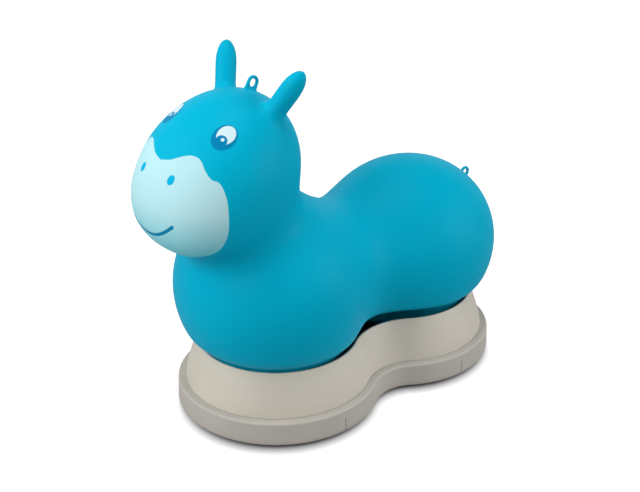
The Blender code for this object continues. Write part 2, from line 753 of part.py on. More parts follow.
def girdle_distance(points):
    """The room that the base's rim leaves the body, which may swell out above it."""
    rim = FLOOR_GAP + RIM_HEIGHT + GIRDLE_LIFT
    room = GIRDLE_FLARE * np.maximum(points[:, 2] - rim, 0.0) - GIRDLE_INSET
    return (plan_distance(points) - room) / math.hypot(1.0, GIRDLE_FLARE)


def body_distance(points):
    """Distance to the blown-up body: rump, chest, neck, head, muzzle and ears in one skin."""
    half = np.column_stack([np.abs(points[:, 0]), points[:, 1:]])
    body = ball_distance(half, RUMP_CENTRE, RUMP_SIZE)
    body = smooth_union(body, ball_distance(half, CHEST_CENTRE, CHEST_SIZE), WAIST_BLEND)
    body = smooth_union(body, neck_distance(half), NECK_BLEND)
    head = ball_distance(half, HEAD_CENTRE, HEAD_SIZE, HEAD_TILT, HEAD_FULLNESS)
    muzzle = ball_distance(half, MUZZLE_CENTRE, MUZZLE_SIZE, MUZZLE_TILT, MUZZLE_FULLNESS)
    body = smooth_union(body, smooth_union(head, muzzle, MUZZLE_BLEND), JAW_BLEND)
    body = smooth_union(body, ear_distance(half), EAR_BLEND)
    return smooth_limit(body, girdle_distance(half), GIRDLE_BLEND)


def pull_to_level(points, level, rounds):
    """Moves points along the distance's slope until they lie at the level."""
    for _ in range(rounds):
        ahead = [body_distance(points + axis * PROBE_STEP) for axis in np.eye(3)]
        behind = [body_distance(points - axis * PROBE_STEP) for axis in np.eye(3)]
        slope = (np.stack(ahead, axis=1) - np.stack(behind, axis=1)) / (2 * PROBE_STEP)
        steepness = np.maximum(np.sum(slope * slope, axis=1), LEAST_SLOPE**2)
        error = body_distance(points) - level
        points = points - slope * (error / steepness)[:, None]
    return points


def blockout(shape):
    """Plain balls and cones where the body's masses are, before they are blended."""
    lumps = [
        (RUMP_CENTRE, RUMP_SIZE, 0.0),
        (CHEST_CENTRE, CHEST_SIZE, 0.0),
        (WAIST_CENTRE, WAIST_SIZE, 0.0),
        (HEAD_CENTRE, HEAD_SIZE, HEAD_TILT),
        (MUZZLE_CENTRE, MUZZLE_SIZE, MUZZLE_TILT),
    ]
    for centre, size, tilt in lumps:
        turn = Matrix.Rotation(tilt, 4, "X")
        place = Matrix.Translation((0, *centre)) @ turn @ Matrix.Diagonal((*size, 1.0))
        bmesh.ops.create_icosphere(shape, subdivisions=4, radius=1.0, matrix=place)
    middle = [(a + b) / 2 for a, b in zip(NECK_FOOT, NECK_TOP)]
    neck_tilt = math.atan2(NECK_FOOT[0] - NECK_TOP[0], NECK_TOP[1] - NECK_FOOT[1])
    place = Matrix.Translation((0, *middle)) @ Matrix.Rotation(neck_tilt, 4, "X")
    bmesh.ops.create_cone(
        shape,
        cap_ends=True,
        segments=32,
        radius1=NECK_FOOT_RADIUS,
        radius2=NECK_TOP_RADIUS,
        depth=math.dist(NECK_FOOT, NECK_TOP),
        matrix=place,
    )
    for side in (-1, 1):
        tip = Vector((side * EAR_TIP[0], *EAR_TIP[1:]))
        run = Vector((side * EAR_RUN[0], *EAR_RUN[1:]))
        turn = Vector((0, 0, -1)).rotation_difference(run).to_matrix().to_4x4()
        bmesh.ops.create_icosphere(
            shape, subdivisions=3, radius=EAR_TIP_RADIUS, matrix=Matrix.Translation(tip)
        )
        bmesh.ops.create_cone(
            shape,
            cap_ends=True,
            segments=20,
            radius1=EAR_ROOT_RADIUS,
            radius2=EAR_TIP_RADIUS,
            depth=run.length,
            matrix=Matrix.Translation(tip + run / 2) @ turn,
        )


def with_modifier(mesh, kind, **settings):
    """The mesh after one modifier."""
    item = bpy.data.objects.new("working_shape", mesh)
    bpy.context.scene.collection.objects.link(item)
    modifier = item.modifiers.new(kind, kind)
    for name, value in settings.items():
        setattr(modifier, name, value)
    result = baked_mesh(item)
    bpy.data.objects.remove(item, do_unlink=True)
    return result


def settle(mesh, level, rounds):
    """Lays the mesh's points on the body's surface at the level."""
    points = np.array([vertex.co[:] for vertex in mesh.vertices])
    points = pull_to_level(points, level, rounds)
    mesh.vertices.foreach_set("co", points.astype(np.float32).ravel())
    mesh.update()
    return mesh


def blown_mesh(level, triangles):
    """The body's surface at a level: blocked out, fused, blended, relaxed and thinned."""
    mesh = with_modifier(mesh_from(blockout), "REMESH", mode="VOXEL", voxel_size=BLOCKOUT_VOXEL)
    mesh = settle(mesh, level, 6)
    for _ in range(RELAX_ROUNDS):
        mesh = with_modifier(mesh, "SMOOTH", factor=0.5, iterations=6)
        mesh = settle(mesh, level, 3)
    ratio = triangles / (2 * len(mesh.polygons))
    mesh = with_modifier(mesh, "DECIMATE", ratio=ratio)
    mesh = settle(mesh, level, 4)
    mesh.shade_smooth()
    return mesh


def loop_outline():
    """A tab with a round head on a wider foot, as (x, y) with y up from the skin."""
    half = LOOP_WIDTH / 2
    head = arc((0, LOOP_HEIGHT - half), half, 0, math.pi, 10)
    foot = [(-LOOP_BASE_WIDTH / 2, -LOOP_ROOT), (LOOP_BASE_WIDTH / 2, -LOOP_ROOT)]
    return head + [(-half, LOOP_HEIGHT - half)] + foot


def loop_slot_outline():
    half = LOOP_SLOT_WIDTH / 2
    top = LOOP_HEIGHT - (LOOP_WIDTH - LOOP_SLOT_WIDTH) / 2 - half
    foot = top - LOOP_SLOT_HEIGHT + LOOP_SLOT_WIDTH
    return arc((0, top), half, 0, math.pi, 6) + arc((0, foot), half, math.pi, 2 * math.pi, 6)


def loop_place(foot, lean):
    """Stands a loop's outline on the middle plane, with its flat sides facing left and right."""
    return Matrix.Translation((0, *foot)) @ Matrix.Rotation(lean, 4, "X") @ UPRIGHT


def make_loops(origin, parts, cutters, finish, outside):
    """The two hanging loops, each a slotted tab whose foot follows the skin."""
    loops = {"head": (HEAD_LOOP_FOOT, HEAD_LOOP_LEAN), "tail": (TAIL_LOOP_FOOT, TAIL_LOOP_LEAN)}
    for name, (foot, lean) in loops.items():
        tab = plate_mesh(loop_outline(), LOOP_THICKNESS)
        slot = plate_mesh(loop_slot_outline(), 3 * LOOP_THICKNESS)
        for mesh in (tab, slot):
            mesh.transform(loop_place(foot, lean))
        loop = add_object(f"{name}_loop", tab, parts, origin, finish)
        combine(loop, add_object(f"{name}_loop_slot", slot, cutters, origin), "DIFFERENCE")
        seat = add_object(f"{name}_loop_seat", outside.copy(), cutters, origin)
        grow = seat.modifiers.new("grow", "DISPLACE")
        grow.strength = SEAT_GAP
        grow.mid_level = 0.0
        combine(loop, seat, "DIFFERENCE")


def make_hopper(origin, parts, cutters, finish):
    """The inflated skin with its ears: one hollow moulding with a valve hole in its belly."""
    outside = blown_mesh(0.0, SKIN_TRIANGLES)
    make_loops(origin, parts, cutters, finish, outside)
    skin = add_object("hopper_skin", outside, parts, origin, finish)
    lining = add_object("lining", blown_mesh(-SKIN_THICKNESS, LINING_TRIANGLES), cutters, origin)
    combine(skin, lining, "DIFFERENCE")

    shoulder = SKIN_THICKNESS + VALVE_SEAT
    hole_profile = [
        (0.0, VALVE_HOLE_TOP),
        (VALVE_FLANGE_RADIUS + SEAT_GAP, VALVE_HOLE_TOP),
        (VALVE_FLANGE_RADIUS + SEAT_GAP, shoulder),
        (VALVE_SLEEVE_RADIUS + SEAT_GAP, shoulder),
        (VALVE_SLEEVE_RADIUS + SEAT_GAP, VALVE_HOLE_FOOT),
        (0.0, VALVE_HOLE_FOOT),
    ]
    hole = add_object("valve_hole", turned_mesh(hole_profile, 16), cutters, origin)
    hole.location = (0, VALVE_Y, BELLY_HEIGHT)
    combine(skin, hole, "DIFFERENCE")


def make_valve(origin, parts, finish):
    """A sleeve flanged inside the skin, and the plug that pulls down out of it."""
    place = (0, VALVE_Y, BELLY_HEIGHT)
    flange_foot = SKIN_THICKNESS + VALVE_SEAT + SEAT_GAP
    sleeve_profile = [
        (VALVE_FLANGE_RADIUS, flange_foot + VALVE_FLANGE_HEIGHT),
        (VALVE_FLANGE_RADIUS, flange_foot),
        (VALVE_SLEEVE_RADIUS, flange_foot),
        (VALVE_SLEEVE_RADIUS, 0.0),
        (VALVE_BORE + SLEEVE_DRAFT, 0.0),
        (VALVE_BORE - SLEEVE_DRAFT, VALVE_DEPTH),
        (VALVE_SLEEVE_RADIUS - EDGE_BREAK, VALVE_DEPTH),
        (VALVE_SLEEVE_RADIUS - SLEEVE_DRAFT, flange_foot + VALVE_FLANGE_HEIGHT),
    ]
    head_top = -SEAT_GAP
    plug_profile = [
        (0.0, PLUG_LENGTH),
        (VALVE_BORE - 4 * PLUG_PLAY, PLUG_LENGTH),
        (VALVE_BORE - 2 * PLUG_PLAY, PLUG_LENGTH - PLUG_NOSE),
        (VALVE_BORE - PLUG_PLAY, head_top),
        (PLUG_HEAD_RADIUS, head_top),
        (PLUG_HEAD_RADIUS, head_top - PLUG_HEAD_HEIGHT * 0.6),
        (PLUG_HEAD_RADIUS * 0.8, head_top - PLUG_HEAD_HEIGHT),
        (0.0, head_top - PLUG_HEAD_HEIGHT),
    ]
    add_object("valve_sleeve", turned_mesh(sleeve_profile, 16), parts, origin, finish, place)
    add_object("valve_plug", turned_mesh(plug_profile, 16), parts, origin, finish, place)


def main():
    clear_scene()
    parts = new_collection("bouncy_hopper")
    cutters = new_collection("cutters")
    origin = add_object("toy_origin", None, cutters, location=(0, BODY_SHIFT, 0))
    body_blue = material("body_blue", BODY_BLUE, 0.42)
    castor_finishes = {
        "bush": material("bush_white", VALVE_WHITE, 0.5),
        "steel": material("steel", STEEL, 0.3, 1.0),
        "castor": material("castor_black", CASTOR_BLACK, 0.5),
        "tyre": material("tyre_grey", TYRE_GREY, 0.7),
    }
    make_base_wall(origin, parts, cutters, material("wall_grey", WALL_GREY, 0.5))
    make_bumper(origin, parts, cutters, material("bumper_grey", BUMPER_GREY, 0.6))
    make_seat_deck(origin, parts, cutters, material("deck_black", DECK_BLACK, 0.45))
    make_deck_screws(origin, parts, castor_finishes["steel"])
    make_castors(origin, parts, cutters, castor_finishes)
    make_hopper(origin, parts, cutters, body_blue)
    make_valve(origin, parts, material("valve_white", VALVE_WHITE, 0.45))


main()
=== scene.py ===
"""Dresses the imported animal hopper: its blown-up body, its castor base and a plain studio.

Metres, +Z up, the floor at z = 0. The animal looks along -Y, and its left side is +X.
Every piece is a finer version of one of the part's solids, drawn in the toy's own frame
and moved back by BODY_SHIFT, so that it lies where its solid is.
"""

import json
import math
from functools import partial, partialmethod

import bmesh
import bpy
import numpy as np
from bpy.props import FloatProperty, FloatVectorProperty, PointerProperty
from mathutils import Matrix, Vector


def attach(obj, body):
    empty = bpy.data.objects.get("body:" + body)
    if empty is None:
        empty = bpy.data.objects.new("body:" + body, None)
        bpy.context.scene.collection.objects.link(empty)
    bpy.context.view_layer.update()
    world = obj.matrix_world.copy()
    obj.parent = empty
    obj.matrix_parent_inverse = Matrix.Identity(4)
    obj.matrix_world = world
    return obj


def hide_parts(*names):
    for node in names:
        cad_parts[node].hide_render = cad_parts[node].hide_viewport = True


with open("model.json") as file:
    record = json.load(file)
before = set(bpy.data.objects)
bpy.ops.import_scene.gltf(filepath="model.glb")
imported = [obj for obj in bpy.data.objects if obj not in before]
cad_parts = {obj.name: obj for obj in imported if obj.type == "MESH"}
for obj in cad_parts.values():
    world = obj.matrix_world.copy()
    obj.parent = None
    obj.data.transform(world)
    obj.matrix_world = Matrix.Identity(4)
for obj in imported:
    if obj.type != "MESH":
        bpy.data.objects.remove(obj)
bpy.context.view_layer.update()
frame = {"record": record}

bl_info = {
    "name": "Animal hopper",
    "version": (1, 0, 0),
    "blender": (4, 5, 0),
    "location": "3D View > Sidebar > Hopper",
    "description": "Builds an inflatable animal hopper in its castor base",
    "category": "Object",
}

# The whole toy
BODY_SHIFT = 0.0206  # puts the origin under the middle of the overall length
FLOOR_GAP = 0.004
SEAT_GAP = 0.0003  # left between pieces that touch

# Base plan: two equal lobes joined by hollow waists
LOBE_RADIUS = 0.14475
LOBE_OFFSET = 0.11525
WAIST_RADIUS = 0.061
WAIST_X = math.sqrt((LOBE_RADIUS + WAIST_RADIUS) ** 2 - LOBE_OFFSET**2)  # to their centres
LOBE_STEPS = 84
WAIST_STEPS = 20

# Base wall, by height above the bumper's lower edge and inset from the bumper's face
LEDGE_HEIGHT = 0.0347
WALL_FOOT_INSET = 0.0120
RIM_HEIGHT = 0.0944
RIM_INSET = 0.0298
RIM_WIDTH = 0.0030
RIM_ROLL = 0.0014
RIM_DROP = 0.004
RIM_JOIN = 0.006
WALL_BULGE = 1.3
WALL_THICKNESS = 0.0025
WALL_RINGS = 12
SKIRT_STEP = 0.0005
SKIRT_FOOT = 0.0034

# Bumper section
BUMPER_THICKNESS = 0.0026
BUMPER_LIP_WIDTH = 0.0155
BUMPER_LIP_THICKNESS = 0.003
BUMPER_DRAFT = 0.0010
BUMPER_ROUND = 0.003
BUMPER_FOOT_CHAMFER = 0.0018
BUMPER_KNEE = (0.00045, 0.00135)  # where the chamfer turns up into the face
BUMPER_WIDEST = 0.006
LEDGE_RISE = 0.0006
SLIT_WIDTH = 0.0012
SLIT_DEPTH = 0.0018
SLIT_HEIGHT = 0.021

# Seat deck
DECK_TOP = 0.054
DECK_THICKNESS = 0.003
DECK_INSET = 0.0185
SEAT_CLEARANCE = 0.0024
BOWL_THICKNESS = 0.003
RIB_THICKNESS = 0.0025
RIB_DEPTH = 0.009
RIB_SPACING = 0.040
LONG_RIB_LENGTH = 0.40
CROSS_RIB_LENGTH = 0.134
POST_RADIUS = 0.0042
POST_INSET = 0.0235
POST_HEIGHT = 0.014
POST_SPREAD = math.radians(14)
POST_ASIDE = (LOBE_RADIUS - POST_INSET) * math.sin(POST_SPREAD)
POST_ALONG = (LOBE_RADIUS - POST_INSET) * math.cos(POST_SPREAD) + LOBE_OFFSET
POSTS = [(side * (WAIST_X - WAIST_RADIUS - POST_INSET), 0.0) for side in (-1, 1)]
POSTS += [(-side * POST_ASIDE, end * POST_ALONG) for end in (-1, 1) for side in (-1, 1)]

# Screws
SCREW_RADIUS = 0.0015
SCREW_LENGTH = 0.012
SCREW_HEAD_RADIUS = 0.0034
SCREW_HEAD_HEIGHT = 0.002
SCREW_POINT = 0.0015
SCREW_TIP_RADIUS = 0.00075
SCREW_HEAD_SIDE = 0.001
SCREW_FACE_RADIUS = 0.00238
RECESS_WIDTH = 0.0009
RECESS_LENGTH = 0.0036
RECESS_DEPTH = 0.0008

# Castors
CASTOR_REACH = 0.067
CASTOR_TRAIL = 0.011
TYRE_RADIUS = 0.015
TYRE_WIDTH = 0.013
HUB_RADIUS = 0.011
AXLE_RADIUS = 0.0025
STEM_RADIUS = 0.004
RUNNING_GAP = 0.0001
FORK_WIDTH = 0.0205
FORK_SLOT = 0.0152
FORK_TOP = 0.0355
FORK_CROWN = 0.0035
FORK_EYE_RADIUS = 0.005
FORK_EYE_ARC = (math.radians(-170), math.radians(10))  # from its back round under the axle
CROWN_BACK = 0.0105
CROWN_FRONT = 0.0145
CROWN_CORNER = 0.004
CROWN_DEPTH = 0.009
RIVET_HEAD_RADIUS = 0.0062
RIVET_HEAD_HEIGHT = 0.0012
BUSH_RADIUS = 0.006
BUSH_FLANGE_RADIUS = 0.008
BUSH_FLANGE_HEIGHT = 0.0015
BOSS_RADIUS = 0.0095
STEM_TOP = 0.0515
HUB_BOSS_RADIUS = 0.0045
HUB_BOSS_PROUD = 0.0005
HUB_DISH = 0.004
AXLE_HEAD_RADIUS = 0.0036
AXLE_HEAD_HEIGHT = 0.001
TYRE_SHOULDER = 0.0022
EDGE_BREAK = 0.0008
WHEEL_PARTS = ("hub", "tyre", "axle")
CASTORS = {  # swivel axes
    f"{end_name}_{side_name}": (side * CASTOR_REACH, end * (LOBE_OFFSET + CASTOR_REACH))
    for end, end_name in ((-1, "front"), (1, "rear"))
    for side, side_name in ((1, "left"), (-1, "right"))
}

# Soft body: squashed balls and a tapered neck, blended over the widths named here. A ball is
# its centre (y, z) on the middle plane, half extents in x, y, z, tilt and fullness.
RUMP = ((0.1315, 0.167), (0.128, 0.145, 0.1315))
CHEST = ((-0.132, 0.1795), (0.137, 0.127, 0.1345))
CREASE = ((0.0, 0.172), (0.095, 0.120, 0.097))  # fills the crease between them in the blockout
HEAD = ((-0.1851, 0.3696), (0.0832, 0.0827, 0.0965), math.radians(-22), 2.17)
MUZZLE = ((-0.2468, 0.3465), (0.0813, 0.0709, 0.0531), math.radians(44.7), 2.3)
WAIST_BLEND = 0.114
MUZZLE_BLEND = 0.0958
JAW_BLEND = 0.0298
NECK_FOOT = (-0.1423, 0.2372)
NECK_FOOT_RADIUS = 0.0842
NECK_TOP = (-0.1967, 0.3397)
NECK_TOP_RADIUS = 0.0719
NECK_BLEND = 0.023
EAR_MIDDLES = {1: (0.0671, -0.1439, 0.4734), -1: (0.0669, -0.1408, 0.4811)}  # by side
EAR_DIRECTION = (0.424, 0.388, 0.819)
EAR_RADIUS = 0.0137
EAR_TIP_LENGTH = 0.0301  # from the middle up to the tip
EAR_ROOT_LENGTH = 0.1666  # the far slower taper below the middle
EAR_STALK = 0.062
EAR_BLEND = 0.014
GIRDLE_INSET = 0.0358
GIRDLE_LIFT = 0.002
GIRDLE_FLARE = 1.6
GIRDLE_BLEND = 0.007
SLACK = 0.055  # further in, and flatter underneath, where the rump clears the rim
SLACK_FLARE = 4.5
SLACK_PLACE = 0.018  # the middle of that stretch along Y, and its reach before and behind
SLACK_REACH = (0.050, 0.085)
SWELL = 0.006  # the chest's fuller low flank, at (y, z), and its reach along Y and Z
SWELL_PLACE = (-0.070, 0.105)
SWELL_REACH = (0.045, 0.030)
SKIN_THICKNESS = 0.0028
SEAT_VOXEL = 0.0065
PROBE_STEP = 0.0004
LEAST_SLOPE = 0.5
TINY = 1e-6
WELD = 0.00001
LONGEST_ROUND = 0.45  # share of a side that one rounded corner takes

# Hanging loops: a flat tab with a slot, on the middle plane, flared into the skin
LOOP_HEIGHT = 0.0188
LOOP_WIDTH = 0.0175
LOOP_BASE_WIDTH = 0.0192
LOOP_THICKNESS = 0.0042
LOOP_SLOT_WIDTH = 0.0091
LOOP_SLOT_HEIGHT = 0.0106
LOOP_ROOT = 0.003
LOOP_EDGE = 0.0017
LOOP_FLARE = 0.0035
LOOP_REACH = 0.0135
LOOP_TUCK = 0.0002  # how far its edge lies under the skin
LOOP_DEPTH = 0.002
LOOP_VOXEL = 0.0007
LOOPS = {
    "head_loop": ((-0.1536, 0.4617), math.radians(-27)),
    "tail_loop": ((0.2532, 0.2385), math.radians(-49)),
}

# Valve in the belly
VALVE_PLACE = (0.0, -0.008, 0.0752)
VALVE_SLEEVE_RADIUS = 0.0068
VALVE_FLANGE_RADIUS = 0.0100
VALVE_FLANGE_HEIGHT = 0.0016
VALVE_BORE = 0.0034
VALVE_DEPTH = 0.0075
VALVE_SEAT = 0.0006
VALVE_HOLE_TOP = 0.014
VALVE_HOLE_FOOT = -0.008
PLUG_HEAD_RADIUS = 0.0060
PLUG_HEAD_HEIGHT = 0.0018
PLUG_LENGTH = 0.0085
PLUG_NOSE = 0.001
PLUG_PLAY = 0.0003

# Printed face, mirrored about the middle plane except where each side has its own place.
# The muzzle patch is an outline of (sideways, up) angles in degrees, seen from its centre.
PATCH_CENTRE = (0.0, -0.235, 0.345)
PATCH_MIDDLE = 4.0
PATCH_OUTLINE = (
    (0, 44.3), (15, 46.5), (27, 49.0), (38, 50.4), (49, 49.3), (56, 45.2), (60, 36.0),
    (64, 29.8), (70, 26.2), (73, 18.0), (74, 2.0), (73, -17), (67, -33.6), (54, -42), (0, -45),
)
PATCH_WIDEST = 90  # degrees, where the outline's curve would reach one
PATCH_SCALE = 0.089  # distance from the patch's centre to the skin, for its edge's softness
PAINTED_SHADE_TOP = 0.350  # where the patch's painted shade starts to darken it, and how far down that goes on
PAINTED_SHADE_DEPTH = 0.065
EYES = (  # side, place on the skin and the way that it faces there
    (1, (0.05874, -0.23908, 0.43304), (0.5275, -0.4148, 0.7414)),
    (-1, (0.0418, -0.2438, 0.4399), (0.353, -0.487, 0.799)),
)
EYE_TURN = math.radians(54)
EYE_RIM_PLACE = (0.0002, 0.0006)
EYE_WHITE_PLACE = (0.0024, 0.0035)
EYE_WHITE_SIZE = (0.0137, 0.0111)
PUPIL_PLACE = (-0.0035, -0.0042)
PUPIL_SIZE = (0.0075, 0.0075)
GLINT_PLACE = (-0.0019, -0.0030)
GLINT_SIZE = (0.0023, 0.0023)
MARK_DEPTH = 0.025  # how far a printed mark reaches along its normal
NOSTRIL_CENTRE = (0.0300, -0.2994, 0.3853)
NOSTRIL_NORMAL = (0.224, -0.852, 0.474)
NOSTRIL_TURNS = {1: math.radians(66), -1: math.radians(106)}
SMILE_MIDDLE = -0.007
SMILE_HEIGHT = 0.3086
SMILE_CURVE = 8.8  # rise in metres per square metre of distance from the middle
SMILE_REACHES = (-0.037, 0.0505)  # its ends, from the middle
SMILE_BACK = -0.25  # the smile is printed ahead of this
PRINT_EDGE = 0.0005

# Turns that stand a flat outline on the middle plane and lay an upright piece across it
UPRIGHT = Matrix(((0, 0, 1, 0), (1, 0, 0, 0), (0, 1, 0, 0), (0, 0, 0, 1)))
ACROSS = Matrix.Rotation(math.radians(90), 4, "Y")
CUTTER_REACH = 1.0

# Finish of each moulding: roughness, fineness and depth of its grain, and the share to which
# its colour drifts
MOULDINGS = {
    "wall_grey": (0.52, 1400.0, 0.00004, 0.9),
    "bumper_grey": (0.62, 1100.0, 0.00005, 0.9),
    "deck_black": (0.38, 1600.0, 0.00003, 0.8),
    "castor_black": (0.45, 1600.0, 0.00004, 0.8),
    "tread_grey": (0.7, 1000.0, 0.00006, 0.86),
    "bush_white": (0.5, 1200.0, 0.00004, 0.9),
    "valve_white": (0.35, 900.0, 0.00004, 0.9),
}
MIX_FIRST = 6  # a Mix node's sockets for colours
MIX_SECOND = 7
MIX_RESULT = 2
GRAIN_SHADE = 0.82  # how much of its colour a speck keeps
GRAIN_SHARE = 0.25
MOULDING_WEAR = 0.10  # how far the roughness varies
METAL_WEAR = 0.14
VINYL_DRIFT = 0.05  # how far its colour varies
VINYL_WEAR = 0.08
PRINT_WEAR = 0.05
VINYL_ROUGHNESS = 0.40
RIVET_ROUGHNESS = 0.24
SCREW_ROUGHNESS = 0.28

# Studio. The floor's painted shadow is full up to the first distance from the base's outline
# and gone at the second: once under the outline moved by the offset, once right under the base.
SHADE_OFFSET = (0.0125, -0.0100)
SHADE_REACH = (-0.024, 0.011)
CONTACT_REACH = (-0.016, 0.004)
FLOOR_SIZE = 12.0
FLOOR_SEEN = 0.25  # the floor's colour for the camera, which sees it glow as well
LAMP_AIM = Vector((0.0, 0.0, 0.2))
LAMPS = {  # place and size, by the setting that holds the power
    "overhead": ((0.0, 0.0, 3.2), 2.2),
    "left": ((-0.9, -1.3, 1.3), 1.0),
    "front": ((0.1, -1.7, 1.1), 1.0),
    "right": ((2.4, -0.4, 1.6), 2.2),
    "back": ((1.9, 1.7, 1.0), 1.6),
}
SENSOR_WIDTH = 36.0  # millimetres
CAMERA_RIGHT = Vector((0.65430, 0.75624, 0.0))
CAMERA_UP = Vector((-0.31953, 0.27646, 0.90635))
CAMERA_PLACE = (-0.027878, 0.174451, 1.7375)  # right, up and back from the base's foot


def size_property(name, description, default):
    return FloatProperty(
        name=name, description=description, default=default, unit="LENGTH", precision=4
    )


def colour_property(name, description, default):
    return FloatVectorProperty(
        name=name,
        description=description,
        default=default,
        subtype="COLOR",
        min=0.0,
        max=1.0,
    )


def power_property(name, description, default):
    return FloatProperty(
        name=name, description=description, default=default, min=0.0, subtype="POWER"
    )


class HopperSettings(bpy.types.PropertyGroup):
    """The soft body: how finely it is modelled, and its printed face."""

    voxel: size_property("Mesh size", "Length of the skin's faces", 0.004)
    eye_length: size_property("Eye length", "Half the eye's length", 0.01865)
    eye_width: size_property("Eye width", "Half the eye's width", 0.0150)
    nostril_height: size_property("Nostril height", "Half a nostril's height", 0.0067)
    nostril_width: size_property("Nostril width", "Half a nostril's width", 0.0052)
    smile_width: size_property("Smile width", "Width of the smile's line", 0.0042)
    vinyl: colour_property("Vinyl", "Colour of the blown-up skin", (0.0, 0.39, 0.58))
    patch: colour_property("Muzzle patch", "Pale print round the nose", (0.43, 0.70, 0.75))
    # painted shade: the patch's darker, bluer colour low on the muzzle stands for the shade under
    # the mouth
    patch_painted_shade: colour_property("Chin", "The patch's colour under the mouth", (0.17, 0.60, 0.69))
    eye_rim: colour_property("Eye rim", "Dark print round the eye", (0.0, 0.20, 0.40))
    eye_white: colour_property("Eye white", "Pale print in the eye", (0.58, 0.76, 0.80))
    nostril: colour_property("Nostril", "Blue print of the nostrils", (0.0, 0.39, 0.64))
    smile: colour_property("Smile", "Dark line of the mouth", (0.0, 0.20, 0.38))


class BaseSettings(bpy.types.PropertyGroup):
    """The castor base: its edges and its colours."""

    edge: size_property("Edge radius", "Rounding on the moulded edges", 0.0005)
    wall: colour_property("Wall", "Warm grey moulding", (0.62, 0.575, 0.49))
    bumper: colour_property("Bumper", "Soft grey strip", (0.49, 0.46, 0.41))
    deck: colour_property("Deck", "Black moulding", (0.016, 0.018, 0.022))
    castor: colour_property("Castor", "Black forks and hubs", (0.03, 0.03, 0.032))
    tyre: colour_property("Tread", "Grey soft tread", (0.22, 0.22, 0.21))
    steel: colour_property("Steel", "Zinc-plated steel", (0.62, 0.62, 0.60))
    bush: colour_property("Bush", "Natural white moulding", (0.75, 0.76, 0.74))
    valve: colour_property("Valve", "White soft valve", (0.78, 0.80, 0.80))


class StageSettings(bpy.types.PropertyGroup):
    """The studio: floor, lamps and camera."""

    floor: colour_property("Floor", "Pale studio floor", (0.45, 0.45, 0.45))
    glow: FloatProperty(name="Glow", description="Lifts the floor to white", default=1.0)
    lens: FloatProperty(name="Lens", description="Focal length", default=64.68, unit="CAMERA")
    overhead: power_property("Overhead", "Lamp above the toy", 46.0)
    left: power_property("Left", "Lamp at the toy's far side, before its head", 10.4)
    front: power_property("Front", "Lamp before its head", 17.0)
    right: power_property("Right", "Lamp at its near side", 7.2)
    back: power_property("Back", "Lamp behind its rump", 33.0)
    sky: FloatProperty(name="Surround", description="Light from all round", default=0.13)


class Field:
    """A shader value that takes part in sums; each operator adds the node that works it out."""

    def __init__(self, finish, socket):
        self.finish = finish
        self.socket = socket

    def math(self, operation, *values, clamp=False):
        settings = {"operation": operation, "use_clamp": clamp}
        return self.finish.node("ShaderNodeMath", settings, dict(enumerate((self, *values))))

    def vector(self, operation, value, output="Vector"):
        settings = {"operation": operation}
        return self.finish.node("ShaderNodeVectorMath", settings, {0: self, 1: value}, output)

    def dot(self, direction):
        return self.vector("DOT_PRODUCT", tuple(direction), output="Value")

    __add__ = __radd__ = partialmethod(math, "ADD")
    __sub__ = partialmethod(math, "SUBTRACT")
    __rsub__ = partialmethod(math, "MULTIPLY_ADD", -1.0)
    __mul__ = __rmul__ = partialmethod(math, "MULTIPLY")
    __truediv__ = partialmethod(math, "DIVIDE")
    __abs__ = partialmethod(math, "ABSOLUTE")
    root = partialmethod(math, "SQRT")
    least = partialmethod(math, "MINIMUM")
    most = partialmethod(math, "MAXIMUM")
    clipped = partialmethod(math, "ADD", 0.0, clamp=True)  # between 0 and 1
    angle_to = partialmethod(math, "ARCTAN2")  # from its adjacent side, with this one opposite


def reach_of(first, second):
    """Length of the diagonal of two values, the first one a shader value."""
    return (first * first + second * second).root()


class Finish:
    """The nodes of a material or of the world, round its one shader."""

    def __init__(self, owner, constants=(), shader="Principled BSDF"):
        owner.use_nodes = True
        self.owner = owner
        self.tree = owner.node_tree
        self.shader = self.tree.nodes[shader]
        for socket, value in dict(constants).items():
            self.shader.inputs[socket].default_value = value

    def node(self, kind, settings=None, inputs=None, output=0):
        """Adds a node: its settings first, then the value or link of each of its sockets."""
        node = self.tree.nodes.new(kind)
        for name, value in (settings or {}).items():
            if name == "stops":
                fill_curve(node.mapping, value)
            else:
                setattr(node, name, value)
        for name, value in (inputs or {}).items():
            if isinstance(value, Field):
                self.tree.links.new(value.socket, node.inputs[name])
            else:
                node.inputs[name].default_value = value
        return Field(self, node.outputs[output])

    def feed(self, socket, value):
        self.tree.links.new(value.socket, self.shader.inputs[socket])

    def object_point(self):
        return self.node("ShaderNodeTexCoord", output="Object")

    def noise(self, point, scale, detail=2.0):
        inputs = {"Vector": point, "Scale": scale, "Detail": detail}
        return self.node("ShaderNodeTexNoise", {}, inputs, "Fac")

    def blend(self, mask, first, second):
        """Mixes two colours, by the mask from the first to the second."""
        inputs = {"Factor": mask, MIX_FIRST: rgba(first), MIX_SECOND: rgba(second)}
        return self.node("ShaderNodeMix", {"data_type": "RGBA"}, inputs, MIX_RESULT)

    def bump(self, height, strength, distance):
        inputs = {"Height": height, "Strength": strength, "Distance": distance}
        self.feed("Normal", self.node("ShaderNodeBump", {}, inputs))


def rgba(colour):
    return colour if isinstance(colour, Field) else (*colour, 1.0)


def fill_curve(mapping, stops):
    """Lays a curve's points, each (place, value), from 0 to 1."""
    points = mapping.curves[0].points
    while len(points) < len(stops):
        points.new(0.5, 0.5)
    for point, (place, value) in zip(points, stops):
        point.location = (place, value)
        point.handle_type = "AUTO"
    mapping.update()


def darker(colour, share):
    return tuple(channel * share for channel in colour)


